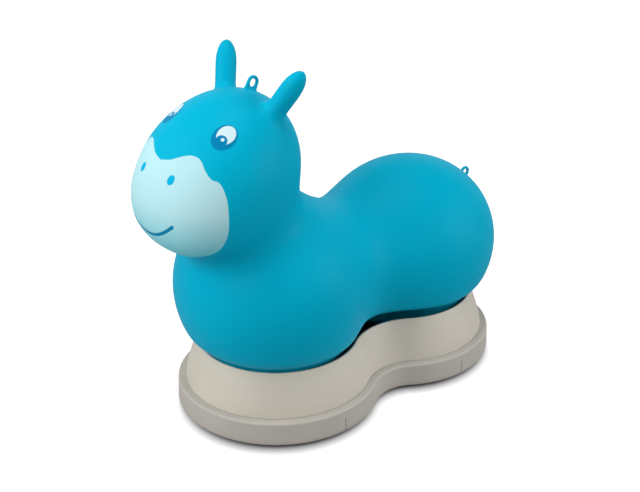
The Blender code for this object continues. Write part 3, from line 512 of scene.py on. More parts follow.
def moulded_finish(name, colour):
    """Moulded plastic or rubber: a fine even grain, and a colour that drifts a little."""
    roughness, grain, depth, shift = MOULDINGS[name]
    finish = Finish(bpy.data.materials.new(name))
    point = finish.object_point()
    drift = finish.noise(point, scale=14.0, detail=3.0)
    speck = finish.noise(point, scale=grain)
    blend = finish.blend(drift, darker(colour, shift), darker(colour, 2.0 - shift))
    dark = darker(colour, GRAIN_SHADE)
    finish.feed("Base Color", finish.blend(speck * GRAIN_SHARE, blend, dark))
    wear = finish.noise(point, scale=60.0)
    finish.feed("Roughness", (roughness - MOULDING_WEAR / 2) + MOULDING_WEAR * wear)
    finish.bump(speck, strength=0.5, distance=depth)
    return finish.owner


def metal_finish(name, colour, roughness):
    """Zinc-plated steel: a faint mottle in its colour and its polish."""
    finish = Finish(bpy.data.materials.new(name), {"Metallic": 1.0})
    point = finish.object_point()
    mottle = finish.noise(point, scale=420.0, detail=4.0)
    finish.feed("Base Color", finish.blend(mottle, darker(colour, GRAIN_SHADE), colour))
    finish.feed("Roughness", roughness + METAL_WEAR * mottle)
    finish.bump(finish.noise(point, scale=2600.0), strength=0.3, distance=0.00002)
    return finish.owner


def ellipse_mask(point, centre, normal, place, size, turn):
    """Where a printed ellipse covers the skin: it lies flat across the normal at the centre."""
    normal = Vector(normal).normalized()
    across = Vector((0, 0, 1)).cross(normal).normalized()
    up = normal.cross(across)
    middle = Vector(centre) + across * place[0] + up * place[1]
    away = point.vector("SUBTRACT", tuple(middle))
    long_axis = across * math.cos(turn) + up * math.sin(turn)
    short_axis = up * math.cos(turn) - across * math.sin(turn)
    reach = reach_of(away.dot(long_axis / size[0]), away.dot(short_axis / size[1]))
    inside = ((1.0 - reach) * (min(size) / PRINT_EDGE) + 0.5).clipped()
    shallow = ((MARK_DEPTH - abs(away.dot(normal))) / PRINT_EDGE).clipped()
    return inside * shallow


def patch_mask(finish, side, y, z):
    """Where the pale patch covers the muzzle, from its outline of angles."""
    ahead = PATCH_CENTRE[1] - y
    above = z - PATCH_CENTRE[2]
    sideways = side.angle_to(ahead)
    upwards = above.angle_to(reach_of(side, ahead)) - math.radians(PATCH_MIDDLE)
    bearing = upwards.angle_to(sideways) / math.pi + 0.5
    stops = []
    for across, up in PATCH_OUTLINE:
        lift = up - PATCH_MIDDLE
        place = math.atan2(lift, across) / math.pi + 0.5
        stops.append((place, math.hypot(across, lift) / PATCH_WIDEST))
    outline = finish.node("ShaderNodeFloatCurve", {"stops": sorted(stops)}, {"Value": bearing})
    limit = outline * math.radians(PATCH_WIDEST)
    inside = limit - reach_of(sideways, upwards)
    return (inside * (PATCH_SCALE / PRINT_EDGE) + 0.5).clipped()


def smile_mask(x, y, z, width):
    """Where the smile's line runs: a shallow bow with round ends."""
    aside = x - SMILE_MIDDLE
    along = aside.least(SMILE_REACHES[1]).most(SMILE_REACHES[0])
    slope = 2 * SMILE_CURVE * along
    off_line = (z - SMILE_HEIGHT - SMILE_CURVE * along * along) / reach_of(slope, 1.0)
    reach = reach_of(aside - along, off_line)
    inside = ((width / 2 - reach) / PRINT_EDGE + 0.5).clipped()
    return inside * ((SMILE_BACK - y) / PRINT_EDGE).clipped()


def vinyl_finish(settings):
    """Soft satin vinyl in one colour, with the face printed on it and a painted shade low on its
    muzzle patch.
    """
    constants = {"Sheen Weight": 0.03, "Sheen Roughness": 0.25, "Specular IOR Level": 0.03}
    finish = Finish(bpy.data.materials.new("moulded_vinyl"), constants)
    point = finish.object_point()
    split = "ShaderNodeSeparateXYZ"
    x, y, z = (finish.node(split, {}, {"Vector": point}, axis) for axis in "XYZ")
    drift = finish.noise(point, scale=9.0, detail=3.0)
    deep = darker(settings.vinyl, 1.0 - VINYL_DRIFT)
    colour = finish.blend(drift, deep, darker(settings.vinyl, 1.0 + VINYL_DRIFT))
    patch = patch_mask(finish, abs(x), y, z)
    # painted shade: the patch turns darker and bluer towards its bottom, as shade under the muzzle
    low = (PAINTED_SHADE_TOP - z) * (1.0 / PAINTED_SHADE_DEPTH)
    pale = finish.blend(low.clipped(), settings.patch, settings.patch_painted_shade)
    colour = finish.blend(patch, colour, pale)
    colour = finish.blend(smile_mask(x, y, z, settings.smile_width), colour, settings.smile)
    nostril_size = (settings.nostril_height, settings.nostril_width)
    eye_size = (settings.eye_length, settings.eye_width)
    for side, centre, normal in EYES:
        flipped = finish.node("ShaderNodeCombineXYZ", {}, {"X": x * side, "Y": y, "Z": z})
        turn = NOSTRIL_TURNS[side]
        nostril = (NOSTRIL_CENTRE, NOSTRIL_NORMAL, (0.0, 0.0), nostril_size, turn)
        marks = (
            (nostril, settings.nostril),
            ((centre, normal, EYE_RIM_PLACE, eye_size, EYE_TURN), settings.eye_rim),
            ((centre, normal, EYE_WHITE_PLACE, EYE_WHITE_SIZE, EYE_TURN), settings.eye_white),
            ((centre, normal, PUPIL_PLACE, PUPIL_SIZE, 0.0), settings.eye_rim),
            ((centre, normal, GLINT_PLACE, GLINT_SIZE, 0.0), settings.eye_white),
        )
        for ellipse, ink in marks:
            colour = finish.blend(ellipse_mask(flipped, *ellipse), colour, ink)
    finish.feed("Base Color", colour)
    wear = finish.noise(point, scale=30.0)
    finish.feed("Roughness", VINYL_ROUGHNESS + VINYL_WEAR * wear + PRINT_WEAR * patch)
    finish.bump(finish.noise(point, scale=850.0, detail=3.0), strength=0.25, distance=0.00006)
    return finish.owner


def mesh_from(build):
    """Makes a mesh from a function that fills a bmesh."""
    mesh = bpy.data.meshes.new("shape")
    shape = bmesh.new()
    build(shape)
    shape.to_mesh(mesh)
    shape.free()
    return mesh


def shade(mesh, angle=35):
    mesh.shade_smooth()
    mesh.set_sharp_from_angle(angle=math.radians(angle))
    return mesh


def box_mesh(size, *centres):
    """Boxes of one size, with their middles at the centres."""

    def boxes(shape):
        for centre in centres:
            place = Matrix.Translation(centre) @ Matrix.Diagonal((*size, 1.0))
            bmesh.ops.create_cube(shape, size=1.0, matrix=place)

    return mesh_from(boxes)


def add_cone(shape, place, height, foot_radius, top_radius, segments=32):
    """Adds a capped cone about the place's own Z, with its middle there."""
    bmesh.ops.create_cone(
        shape,
        cap_ends=True,
        segments=segments,
        radius1=foot_radius,
        radius2=top_radius,
        depth=height,
        matrix=place,
    )


def cylinder_mesh(radius, height, centres, segments=32, turn=Matrix.Identity(4)):
    """Upright or turned cylinders of one size, with their middles at the centres."""

    def cylinders(shape):
        for centre in centres:
            place = Matrix.Translation(centre) @ turn
            add_cone(shape, place, height, radius, radius, segments)

    return mesh_from(cylinders)


def joined(*meshes):
    """The meshes, which lie apart, as one."""

    def parts(shape):
        for mesh in meshes:
            shape.from_mesh(mesh)

    return mesh_from(parts)


def add_ball(shape, place, subdivisions=5):
    bmesh.ops.create_icosphere(shape, subdivisions=subdivisions, radius=1.0, matrix=place)


def turned_to(direction):
    """The turn that brings the Z axis to the direction."""
    return Vector((0, 0, 1)).rotation_difference(direction).to_matrix().to_4x4()


def hold(data, name="working_shape"):
    """An object that carries a mesh, curve, lamp or camera."""
    item = bpy.data.objects.new(name, data)
    bpy.context.scene.collection.objects.link(item)
    return item


def baked_mesh(item, *helpers):
    """The object's evaluated mesh with its caps welded. It and its helpers go."""
    bpy.context.view_layer.update()
    graph = bpy.context.evaluated_depsgraph_get()
    mesh = bpy.data.meshes.new_from_object(item.evaluated_get(graph))
    shape = bmesh.new()
    shape.from_mesh(mesh)
    bmesh.ops.remove_doubles(shape, verts=shape.verts, dist=WELD)
    shape.to_mesh(mesh)
    shape.free()
    for used in (item, *helpers):
        bpy.data.objects.remove(used, do_unlink=True)
    return mesh


def with_modifier(mesh, kind, **settings):
    """The mesh after one modifier."""
    item = hold(mesh)
    modifier = item.modifiers.new(kind, kind)
    for name, value in settings.items():
        setattr(modifier, name, value)
    return baked_mesh(item)


def combined(mesh, operation, *tools, solver="EXACT"):
    """The mesh after a Boolean with each tool mesh in turn."""
    item = hold(mesh)
    helpers = [hold(tool) for tool in tools]
    for helper in helpers:
        modifier = item.modifiers.new("combine", "BOOLEAN")
        modifier.operation = operation
        modifier.solver = solver
        modifier.object = helper
    return baked_mesh(item, *helpers)


def rounded(points, radius, closed=True, steps=4):
    """Rounds the corners of a run of flat points, as far as their sides allow."""
    result = []
    count = len(points)
    for index, corner in enumerate(points):
        if not closed and index in (0, count - 1):
            result.append(tuple(corner))
            continue
        here = Vector(corner)
        before = Vector(points[index - 1]) - here
        after = Vector(points[(index + 1) % count]) - here
        turn = before.angle(-after, 0.0)
        room = min(before.length, after.length) * LONGEST_ROUND
        reach = min(radius * math.tan(turn / 2), room)
        if reach < TINY:
            result.append(tuple(corner))
            continue
        start = here + before.normalized() * reach
        end = here + after.normalized() * reach
        for share in np.linspace(0, 1, steps + 1):
            result.append(tuple(start.lerp(here, share).lerp(here.lerp(end, share), share)))
    return result


def poly_curve(points):
    """A closed flat curve through the points, each (x, y)."""
    curve = bpy.data.curves.new("outline", "CURVE")
    curve.dimensions = "2D"
    spline = curve.splines.new("POLY")
    spline.points.add(len(points) - 1)
    for knot, (x, y) in zip(spline.points, points):
        knot.co = (x, y, 0.0, 1.0)
    spline.use_cyclic_u = True
    return curve


def plate_mesh(points, thickness):
    """A flat outline filled on both sides, centred on its own plane."""
    curve = poly_curve(points)
    curve.fill_mode = "BOTH"
    curve.extrude = thickness / 2
    return baked_mesh(hold(curve))


def stepped(top, *steps, bore=0.0):
    """A profile that steps down from the top: each step is (radius, height of its foot)."""
    points = [(bore, top)]
    for radius, foot in steps:
        points += [(radius, top), (radius, foot)]
        top = foot
    return [*points, (bore, top)]


def turned_mesh(profile, edge=0.0, segments=48, rounding=4):
    """Turns a profile of (radius, height) pairs, listed down its outer side, about Z.

    Its corners are rounded first. One with a bore is closed along it.
    """
    bored = profile[0][0] > 0
    profile = rounded(profile, edge, closed=bored, steps=rounding)
    points = [(radius, 0.0, height) for radius, height in profile]
    edges = [(i, i + 1) for i in range(len(points) - 1)]
    if bored:
        edges.append((len(points) - 1, 0))
    mesh = bpy.data.meshes.new("profile")
    mesh.from_pydata(points, edges, [])
    steps = {"steps": segments, "render_steps": segments}
    merging = {"use_merge_vertices": True, "merge_threshold": WELD}
    return shade(with_modifier(mesh, "SCREW", **steps, **merging))


def arc(centre, radius, start, end, steps):
    """Points on an arc, angles in radians, without the last one."""
    angles = np.linspace(start, end, steps + 1)[:-1]
    return [(centre[0] + radius * math.cos(a), centre[1] + radius * math.sin(a)) for a in angles]


def peanut(inset):
    """The base's plan outline, moved in from the bumper's face by the inset."""
    lean = math.atan2(LOBE_OFFSET, WAIST_X)
    lobe = LOBE_RADIUS - inset
    waist = WAIST_RADIUS + inset
    points = arc((0, LOBE_OFFSET), lobe, -lean, math.pi + lean, LOBE_STEPS)
    points += arc((-WAIST_X, 0), waist, lean, -lean, WAIST_STEPS)
    points += arc((0, -LOBE_OFFSET), lobe, math.pi - lean, 2 * math.pi + lean, LOBE_STEPS)
    points += arc((WAIST_X, 0), waist, math.pi + lean, math.pi - lean, WAIST_STEPS)
    return points


def swept_mesh(section):
    """Sweeps a closed section of (inset, height) pairs round the base's plan."""
    profile = hold(poly_curve(section))
    path = poly_curve(peanut(0.0))
    path.bevel_mode = "OBJECT"
    path.bevel_object = profile
    return baked_mesh(hold(path), profile)


def add_piece(name, mesh, node, material, place=(0.0, 0.0, 0.0)):
    """Stands a piece for its CAD node, at a place in the toy's own frame."""
    item = hold(mesh, name)
    item.location = Vector(place) + Vector((0, BODY_SHIFT, 0))
    mesh.materials.clear()
    mesh.materials.append(material)
    bodies = frame["record"]["behaviour"]["bodies"]
    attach(item, next(body for body, nodes in bodies.items() if node in nodes))
    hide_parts(node)


def smooth_union(first, second, width):
    """The lesser distance, rounded where the two are within the width of each other."""
    overlap = np.maximum(width - np.abs(first - second), 0.0) / width
    return np.minimum(first, second) - overlap * overlap * width / 4


def smooth_limit(inner, outer, width):
    """The greater distance, rounded in the same way."""
    return -smooth_union(-inner, -outer, width)


def ball_distance(points, centre, size, tilt=0.0, fullness=2.0):
    """Distance to a squashed ball on the middle plane, tilted about X."""
    y = points[:, 1] - centre[0]
    z = points[:, 2] - centre[1]
    along = y * math.cos(tilt) + z * math.sin(tilt)
    above = z * math.cos(tilt) - y * math.sin(tilt)
    scaled = np.abs(np.column_stack([points[:, 0], along, above])) / size
    plan = np.sum(scaled[:, :2] ** fullness, axis=1) ** (1 / fullness)
    plan = np.maximum(plan, TINY)[:, None]
    reach = np.hypot(plan[:, 0], scaled[:, 2])
    sideways = plan * (scaled[:, :2] / plan) ** (fullness - 1)
    slope = np.linalg.norm(np.column_stack([sideways, scaled[:, 2]]) / size, axis=1)
    return reach * (reach - 1.0) / np.maximum(slope, TINY)


def tapered_distance(points, foot, top, foot_radius, top_radius):
    """Distance to a tapered bar with round ends, a run of balls from its foot to its top."""
    run = top - foot
    share = np.clip((points - foot) @ run / (run @ run), 0.0, 1.0)
    radius = foot_radius + (top_radius - foot_radius) * share
    return np.linalg.norm(points - foot - share[:, None] * run, axis=1) - radius


def ear_distance(points, side):
    """Distance to the ear on one side, 1 for the left and -1 for the right: a long egg."""
    direction = np.array(EAR_DIRECTION) / np.linalg.norm(EAR_DIRECTION)
    offset = points * np.array((side, 1, 1)) - np.array(EAR_MIDDLES[side])
    along = offset @ direction
    aside = np.linalg.norm(offset - along[:, None] * direction, axis=1)
    length = np.where(along > 0, EAR_TIP_LENGTH, EAR_ROOT_LENGTH)
    reach = np.hypot(aside / EAR_RADIUS, along / length)
    slope = np.hypot(aside / EAR_RADIUS**2, along / length**2)
    return reach * (reach - 1.0) / np.maximum(slope, TINY)


def plan_distance(points):
    """Distance from the bumper's face in plan, negative inside it."""
    x = np.abs(points[:, 0])
    y = np.abs(points[:, 1])
    by_waist = x * LOBE_OFFSET + y * WAIST_X < WAIST_X * LOBE_OFFSET
    waist = WAIST_RADIUS - np.hypot(x - WAIST_X, y)
    return np.where(by_waist, waist, np.hypot(x, y - LOBE_OFFSET) - LOBE_RADIUS)


def girdle_distance(points):
    """The room that the base's rim leaves the body, which may swell out above it."""
    rim = FLOOR_GAP + RIM_HEIGHT + GIRDLE_LIFT
    behind = points[:, 1] - SLACK_PLACE
    slack = np.exp(-((behind / np.where(behind < 0, *SLACK_REACH)) ** 2))
    flare = GIRDLE_FLARE + SLACK_FLARE * np.sqrt(slack)
    room = flare * np.maximum(points[:, 2] - rim, 0.0) - GIRDLE_INSET - SLACK * slack
    return (plan_distance(points) - room) / np.hypot(1.0, flare)


def body_distance(points):
    """Distance to the blown-up body: rump, chest, neck, head, muzzle and ears in one skin."""
    half = np.column_stack([np.abs(points[:, 0]), points[:, 1:]])
    body = smooth_union(ball_distance(half, *RUMP), ball_distance(half, *CHEST), WAIST_BLEND)
    flank = (half[:, 1:] - SWELL_PLACE) / SWELL_REACH
    body -= SWELL * np.exp(-np.sum(flank**2, axis=1))
    foot = np.array((0.0, *NECK_FOOT))
    top = np.array((0.0, *NECK_TOP))
    neck = tapered_distance(half, foot, top, NECK_FOOT_RADIUS, NECK_TOP_RADIUS)
    body = smooth_union(body, neck, NECK_BLEND)
    head = ball_distance(half, *HEAD)
    head = smooth_union(head, ball_distance(half, *MUZZLE), MUZZLE_BLEND)
    body = smooth_union(body, head, JAW_BLEND)
    for side in EAR_MIDDLES:
        body = smooth_union(body, ear_distance(points, side), EAR_BLEND)
    return smooth_limit(body, girdle_distance(half), GIRDLE_BLEND)


def loop_distance(foot, lean, points):
    """Distance to a slotted tab that flares into the skin and ends just under it."""
    y = points[:, 1] - foot[0]
    z = points[:, 2] - foot[1]
    flat = np.column_stack([
        y * math.cos(lean) + z * math.sin(lean),
        z * math.cos(lean) - y * math.sin(lean),
    ])
    half = LOOP_WIDTH / 2
    root = np.array((0.0, -LOOP_ROOT))
    head = np.array((0.0, LOOP_HEIGHT - half))
    tab = tapered_distance(flat, root, head, LOOP_BASE_WIDTH / 2, half)
    slot_half = LOOP_SLOT_WIDTH / 2
    slot_top = LOOP_HEIGHT - (LOOP_WIDTH - LOOP_SLOT_WIDTH) / 2 - slot_half
    slot_foot = slot_top - LOOP_SLOT_HEIGHT + LOOP_SLOT_WIDTH
    ends = np.array(((0.0, slot_foot), (0.0, slot_top)))
    slot = tapered_distance(flat, *ends, slot_half, slot_half)
    ring = np.maximum(tab, -slot) + LOOP_EDGE
    side = np.abs(points[:, 0]) - LOOP_THICKNESS / 2 + LOOP_EDGE
    outside = np.hypot(np.maximum(ring, 0.0), np.maximum(side, 0.0))
    loop = outside + np.minimum(np.maximum(ring, side), 0.0) - LOOP_EDGE
    skin = body_distance(points) + LOOP_TUCK
    flared = smooth_union(loop, skin, LOOP_FLARE)
    near = np.linalg.norm(points - np.array((0.0, *foot)), axis=1) - LOOP_REACH
    patch = np.maximum(np.maximum(flared, -skin - LOOP_DEPTH), near)
    return np.minimum(np.maximum(loop, -skin - LOOP_DEPTH), patch)


def loop_blockout(foot, lean, shape):
    """A slotted ring of bars over a flat ball, where a hanging loop stands."""
    place = Matrix.Translation((0, *foot)) @ Matrix.Rotation(lean, 4, "X")
    flat = Matrix.Diagonal((LOOP_REACH, LOOP_REACH, LOOP_DEPTH * 1.5, 1.0))
    add_ball(shape, place @ flat, subdivisions=4)
    ring_half = (LOOP_WIDTH + LOOP_SLOT_WIDTH) / 4
    bar = (LOOP_WIDTH - LOOP_SLOT_WIDTH) / 2
    top = LOOP_HEIGHT - LOOP_WIDTH / 2
    bend = reversed(arc((0, top), ring_half, 0, math.pi, steps=12))
    outline = [Vector((0, *point)) for point in ((-ring_half, -LOOP_ROOT), *bend)]
    outline.append(Vector((0, ring_half, -LOOP_ROOT)))
    for first, second in zip(outline, outline[1:]):
        run = second - first
        along = Matrix.Translation((first + second) / 2) @ turned_to(run)
        size = Matrix.Diagonal((LOOP_THICKNESS, bar, run.length + bar / 2, 1.0))
        bmesh.ops.create_cube(shape, size=1.0, matrix=place @ along @ size)
    foot_size = Matrix.Diagonal((LOOP_THICKNESS, LOOP_BASE_WIDTH, bar + LOOP_ROOT, 1.0))
    bmesh.ops.create_cube(shape, size=1.0, matrix=place @ foot_size)


def settle(mesh, distance, level, rounds):
    """Moves the mesh's points along the distance's slope until they lie at the level."""
    points = np.array([vertex.co[:] for vertex in mesh.vertices])
    for _ in range(rounds):
        ahead = [distance(points + axis * PROBE_STEP) for axis in np.eye(3)]
        behind = [distance(points - axis * PROBE_STEP) for axis in np.eye(3)]
        slope = (np.stack(ahead, axis=1) - np.stack(behind, axis=1)) / (2 * PROBE_STEP)
        steepness = np.maximum(np.sum(slope * slope, axis=1), LEAST_SLOPE**2)
        error = distance(points) - level
        points = points - slope * (error / steepness)[:, None]
    mesh.vertices.foreach_set("co", points.astype(np.float32).ravel())
    mesh.update()
    return mesh


def body_blockout(shape):
    """Plain balls and cones where the body's masses are, before they are blended."""
    for centre, size, *bend in (RUMP, CHEST, CREASE, HEAD, MUZZLE):
        turn = Matrix.Rotation(bend[0] if bend else 0.0, 4, "X")
        place = Matrix.Translation((0, *centre)) @ turn @ Matrix.Diagonal((*size, 1.0))
        add_ball(shape, place)
    middle = [(a + b) / 2 for a, b in zip(NECK_FOOT, NECK_TOP)]
    neck_tilt = math.atan2(NECK_FOOT[0] - NECK_TOP[0], NECK_TOP[1] - NECK_FOOT[1])
    place = Matrix.Translation((0, *middle)) @ Matrix.Rotation(neck_tilt, 4, "X")
    length = math.dist(NECK_FOOT, NECK_TOP)
    add_cone(shape, place, length, NECK_FOOT_RADIUS, NECK_TOP_RADIUS, segments=48)
    for side, (x, y, z) in EAR_MIDDLES.items():
        middle = Vector((side * x, y, z))
        direction = Vector((side * EAR_DIRECTION[0], *EAR_DIRECTION[1:])).normalized()
        turn = turned_to(direction)
        stretch = Matrix.Diagonal((EAR_RADIUS, EAR_RADIUS, EAR_TIP_LENGTH, 1.0))
        add_ball(shape, Matrix.Translation(middle) @ turn @ stretch, subdivisions=4)
        stalk = Matrix.Translation(middle - direction * EAR_STALK / 2) @ turn
        add_cone(shape, stalk, EAR_STALK, EAR_RADIUS, EAR_RADIUS)


def blown_mesh(blockout, distance, level, voxel, rounds=3):
    """A surface at a level of a distance: blocked out, fused, blended and relaxed."""
    mesh = with_modifier(mesh_from(blockout), "REMESH", mode="VOXEL", voxel_size=voxel)
    mesh = settle(mesh, distance, level, rounds=6)
    for _ in range(rounds):
        mesh = with_modifier(mesh, "SMOOTH", factor=0.5, iterations=6)
        mesh = settle(mesh, distance, level, rounds=3)
    mesh.shade_smooth()
    return mesh


def wall_inset(height):
    """How far the wall has leaned in at a height above the bumper's lower edge."""
    share = (height - LEDGE_HEIGHT) / (RIM_HEIGHT - LEDGE_HEIGHT)
    return WALL_FOOT_INSET + (RIM_INSET - WALL_FOOT_INSET) * max(share, 0.0) ** WALL_BULGE


def wall_section(edge):
    """Leaning wall, rolled rim and the skirt inside the bumper, as one thin closed section."""
    heights = np.linspace(LEDGE_HEIGHT, RIM_HEIGHT - RIM_ROLL, WALL_RINGS)
    outer = [(wall_inset(h), h) for h in heights]
    lip = RIM_INSET + RIM_WIDTH
    rim = [(RIM_INSET, RIM_HEIGHT), (lip, RIM_HEIGHT), (lip, RIM_HEIGHT - RIM_DROP)]
    inner_heights = np.linspace(RIM_HEIGHT - RIM_JOIN, LEDGE_HEIGHT, WALL_RINGS)
    inner = [(wall_inset(h) + WALL_THICKNESS, h) for h in inner_heights]
    skirt = WALL_FOOT_INSET + SKIRT_STEP
    foot = [
        (skirt + WALL_THICKNESS, LEDGE_HEIGHT - WALL_THICKNESS),
        (skirt + WALL_THICKNESS, SKIRT_FOOT),
        (skirt, SKIRT_FOOT),
        (skirt, LEDGE_HEIGHT - SKIRT_STEP),
    ]
    lips = rounded([outer[-1], *rim, inner[0]], RIM_ROLL, closed=False)
    return outer[:-1] + lips + inner[1:] + rounded([inner[-1], *foot], edge, closed=False)[1:]


def bumper_section(edge):
    """A hollow strip: a lip under the skirt, an upright face and a ledge round the wall."""
    ledge_end = WALL_FOOT_INSET + SKIRT_STEP - SEAT_GAP
    ledge_top = LEDGE_HEIGHT - 2 * SEAT_GAP
    shoulder_top = ledge_top - LEDGE_RISE
    inside = BUMPER_DRAFT + BUMPER_THICKNESS
    outer = [
        (BUMPER_LIP_WIDTH, 0.0),
        (BUMPER_FOOT_CHAMFER, 0.0),
        BUMPER_KNEE,
        (0.0, BUMPER_WIDEST),
    ]
    shoulder = (BUMPER_DRAFT + BUMPER_ROUND, shoulder_top - BUMPER_ROUND)
    outer += arc(shoulder, BUMPER_ROUND, math.pi, math.pi / 2, steps=8)
    outer += [(shoulder[0], shoulder_top), (ledge_end, ledge_top)]
    inner = [
        (ledge_end, ledge_top - BUMPER_THICKNESS),
        (inside, shoulder_top - BUMPER_THICKNESS),
        (inside, BUMPER_LIP_THICKNESS),
        (BUMPER_LIP_WIDTH, BUMPER_LIP_THICKNESS),
    ]
    return rounded(outer + inner, edge)


def rib_meshes():
    """The ribs under the deck: two along it, and one across at each end."""
    top = DECK_TOP - EDGE_BREAK
    foot = DECK_TOP - DECK_THICKNESS - RIB_DEPTH
    middle = (top + foot) / 2
    long_size = (RIB_THICKNESS, LONG_RIB_LENGTH, top - foot)
    cross_size = (CROSS_RIB_LENGTH, RIB_THICKNESS, top - foot - EDGE_BREAK)
    reach = LOBE_OFFSET + CASTOR_REACH
    ribs = [box_mesh(long_size, (side * RIB_SPACING, 0, middle)) for side in (-1, 1)]
    return ribs + [box_mesh(cross_size, (0, end * reach, middle)) for end in (-1, 1)]


def bowl_mesh(centre, size):
    """The dished seat of one lobe, trimmed level with the deck's top."""
    radii = [half + SEAT_CLEARANCE + BOWL_THICKNESS for half in size]
    place = Matrix.Translation((0, *centre)) @ Matrix.Diagonal((*radii, 1.0))
    settings = {"u_segments": 96, "v_segments": 64, "radius": 1.0, "matrix": place}
    ball = mesh_from(partial(bmesh.ops.create_uvsphere, **settings))
    space_above = box_mesh((CUTTER_REACH,) * 3, (0, 0, DECK_TOP + CUTTER_REACH / 2))
    return combined(ball, "DIFFERENCE", space_above)


def deck_mesh():
    """A plate with a dished seat for each lobe, castor bosses and ribs underneath."""
    under = DECK_TOP - DECK_THICKNESS
    plate = plate_mesh(peanut(DECK_INSET), DECK_THICKNESS)
    plate.transform(Matrix.Translation((0, 0, (under + DECK_TOP) / 2)))
    foot = FORK_TOP + BUSH_FLANGE_HEIGHT + 2 * SEAT_GAP
    height = DECK_TOP - EDGE_BREAK - foot
    centres = [(x, y, foot + height / 2) for x, y in CASTORS.values()]
    bosses = cylinder_mesh(BOSS_RADIUS, height, centres, segments=48)
    bowls = [bowl_mesh(*lobe) for lobe in (RUMP, CHEST)]
    solid = combined(plate, "UNION", *bowls, bosses, *rib_meshes())
    bore_top = STEM_TOP + 2 * SEAT_GAP
    centres = [(x, y, (FORK_TOP + bore_top) / 2) for x, y in CASTORS.values()]
    bores = cylinder_mesh(BUSH_RADIUS + SEAT_GAP, bore_top - FORK_TOP, centres, segments=48)
    centres = [(x, y, under) for x, y in POSTS]
    pilots = cylinder_mesh(SCREW_RADIUS + SEAT_GAP, SCREW_LENGTH, centres, segments=24)
    hollow = blown_mesh(body_blockout, body_distance, SEAT_CLEARANCE, SEAT_VOXEL)
    return shade(combined(solid, "DIFFERENCE", hollow, joined(bores, pilots)))


def screw_mesh(edge):
    """A pan-head screw with a cross recess, its head down."""
    profile = [
        (0.0, SCREW_LENGTH),
        (SCREW_TIP_RADIUS, SCREW_LENGTH),
        (SCREW_RADIUS, SCREW_LENGTH - SCREW_POINT),
        (SCREW_RADIUS, 0.0),
        (SCREW_HEAD_RADIUS, 0.0),
        (SCREW_HEAD_RADIUS, -SCREW_HEAD_SIDE),
        (SCREW_FACE_RADIUS, -SCREW_HEAD_HEIGHT),
        (0.0, -SCREW_HEAD_HEIGHT),
    ]
    screw = turned_mesh(profile, edge, segments=32)
    for size in ((RECESS_WIDTH, RECESS_LENGTH), (RECESS_LENGTH, RECESS_WIDTH)):
        bar = box_mesh((*size, 2 * RECESS_DEPTH), (0, 0, -SCREW_HEAD_HEIGHT))
        screw = combined(screw, "DIFFERENCE", bar)
    return shade(screw)


def fork_mesh(edge):
    """The castor's fork: an eye round the axle, a crown above it and a slot for the wheel."""
    eye_centre = (CASTOR_TRAIL, TYRE_RADIUS)
    outline = arc(eye_centre, FORK_EYE_RADIUS, *FORK_EYE_ARC, steps=20)
    outline.append((CASTOR_TRAIL + FORK_EYE_RADIUS, TYRE_RADIUS + EDGE_BREAK))
    corner_height = FORK_TOP - CROWN_CORNER
    front = (CROWN_FRONT - CROWN_CORNER, corner_height)
    outline += arc(front, CROWN_CORNER, 0, math.pi / 2, steps=8)
    back = (CROWN_CORNER - CROWN_BACK, corner_height)
    outline += arc(back, CROWN_CORNER, math.pi / 2, math.pi, steps=8)
    outline.append((-CROWN_BACK, FORK_TOP - CROWN_DEPTH))
    fork = plate_mesh(outline, FORK_WIDTH)
    fork.transform(UPRIGHT)
    slot_middle = FORK_TOP - FORK_CROWN - CUTTER_REACH / 2
    slot = box_mesh((FORK_SLOT, CUTTER_REACH, CUTTER_REACH), (0, 0, slot_middle))
    stem_hole = cylinder_mesh(STEM_RADIUS + SEAT_GAP, 4 * FORK_CROWN, [(0, 0, FORK_TOP)])
    centre = (0, CASTOR_TRAIL, TYRE_RADIUS)
    axle_hole = cylinder_mesh(AXLE_RADIUS + SEAT_GAP, 2 * FORK_WIDTH, [centre], turn=ACROSS)
    fork = combined(fork, "DIFFERENCE", slot, joined(stem_hole, axle_hole))
    return shade(with_modifier(fork, "BEVEL", width=edge, segments=3, limit_method="ANGLE"))


def castor_meshes(edge):
    """The pieces of a castor, those of its wheel and axle about the axle's own middle."""
    crown_under = FORK_TOP - FORK_CROWN - SEAT_GAP
    rivet_foot = crown_under - RIVET_HEAD_HEIGHT
    stem = stepped(STEM_TOP, (STEM_RADIUS, crown_under), (RIVET_HEAD_RADIUS, rivet_foot))
    foot = FORK_TOP + SEAT_GAP
    steps = ((BUSH_RADIUS, foot + BUSH_FLANGE_HEIGHT), (BUSH_FLANGE_RADIUS, foot))
    bush = stepped(STEM_TOP, *steps, bore=STEM_RADIUS + RUNNING_GAP)
    half = TYRE_WIDTH / 2
    hub_bore = AXLE_RADIUS + RUNNING_GAP
    web_radius = (HUB_RADIUS + AXLE_RADIUS) / 2 - EDGE_BREAK
    hub_side = [
        (hub_bore, half + HUB_BOSS_PROUD),
        (HUB_BOSS_RADIUS, half + HUB_BOSS_PROUD),
        (web_radius, half - HUB_DISH),
        (HUB_RADIUS, half - EDGE_BREAK),
    ]
    hub = hub_side + [(radius, -height) for radius, height in reversed(hub_side)]
    tyre = stepped(half, (TYRE_RADIUS, -half), bore=HUB_RADIUS + SEAT_GAP)
    pin = FORK_WIDTH / 2 + SEAT_GAP
    end = pin + AXLE_HEAD_HEIGHT
    heads = ((AXLE_HEAD_RADIUS, pin), (AXLE_RADIUS, -pin), (AXLE_HEAD_RADIUS, -end))
    meshes = {
        "stem": turned_mesh(stem, edge),
        "bush": turned_mesh(bush, edge / 2),
        "fork": fork_mesh(edge),
        "hub": turned_mesh(hub, edge),
        "tyre": turned_mesh(tyre, TYRE_SHOULDER, segments=72, rounding=8),
        "axle": turned_mesh(stepped(end, *heads), edge),
    }
    for name in WHEEL_PARTS:
        meshes[name].transform(ACROSS)
    return meshes


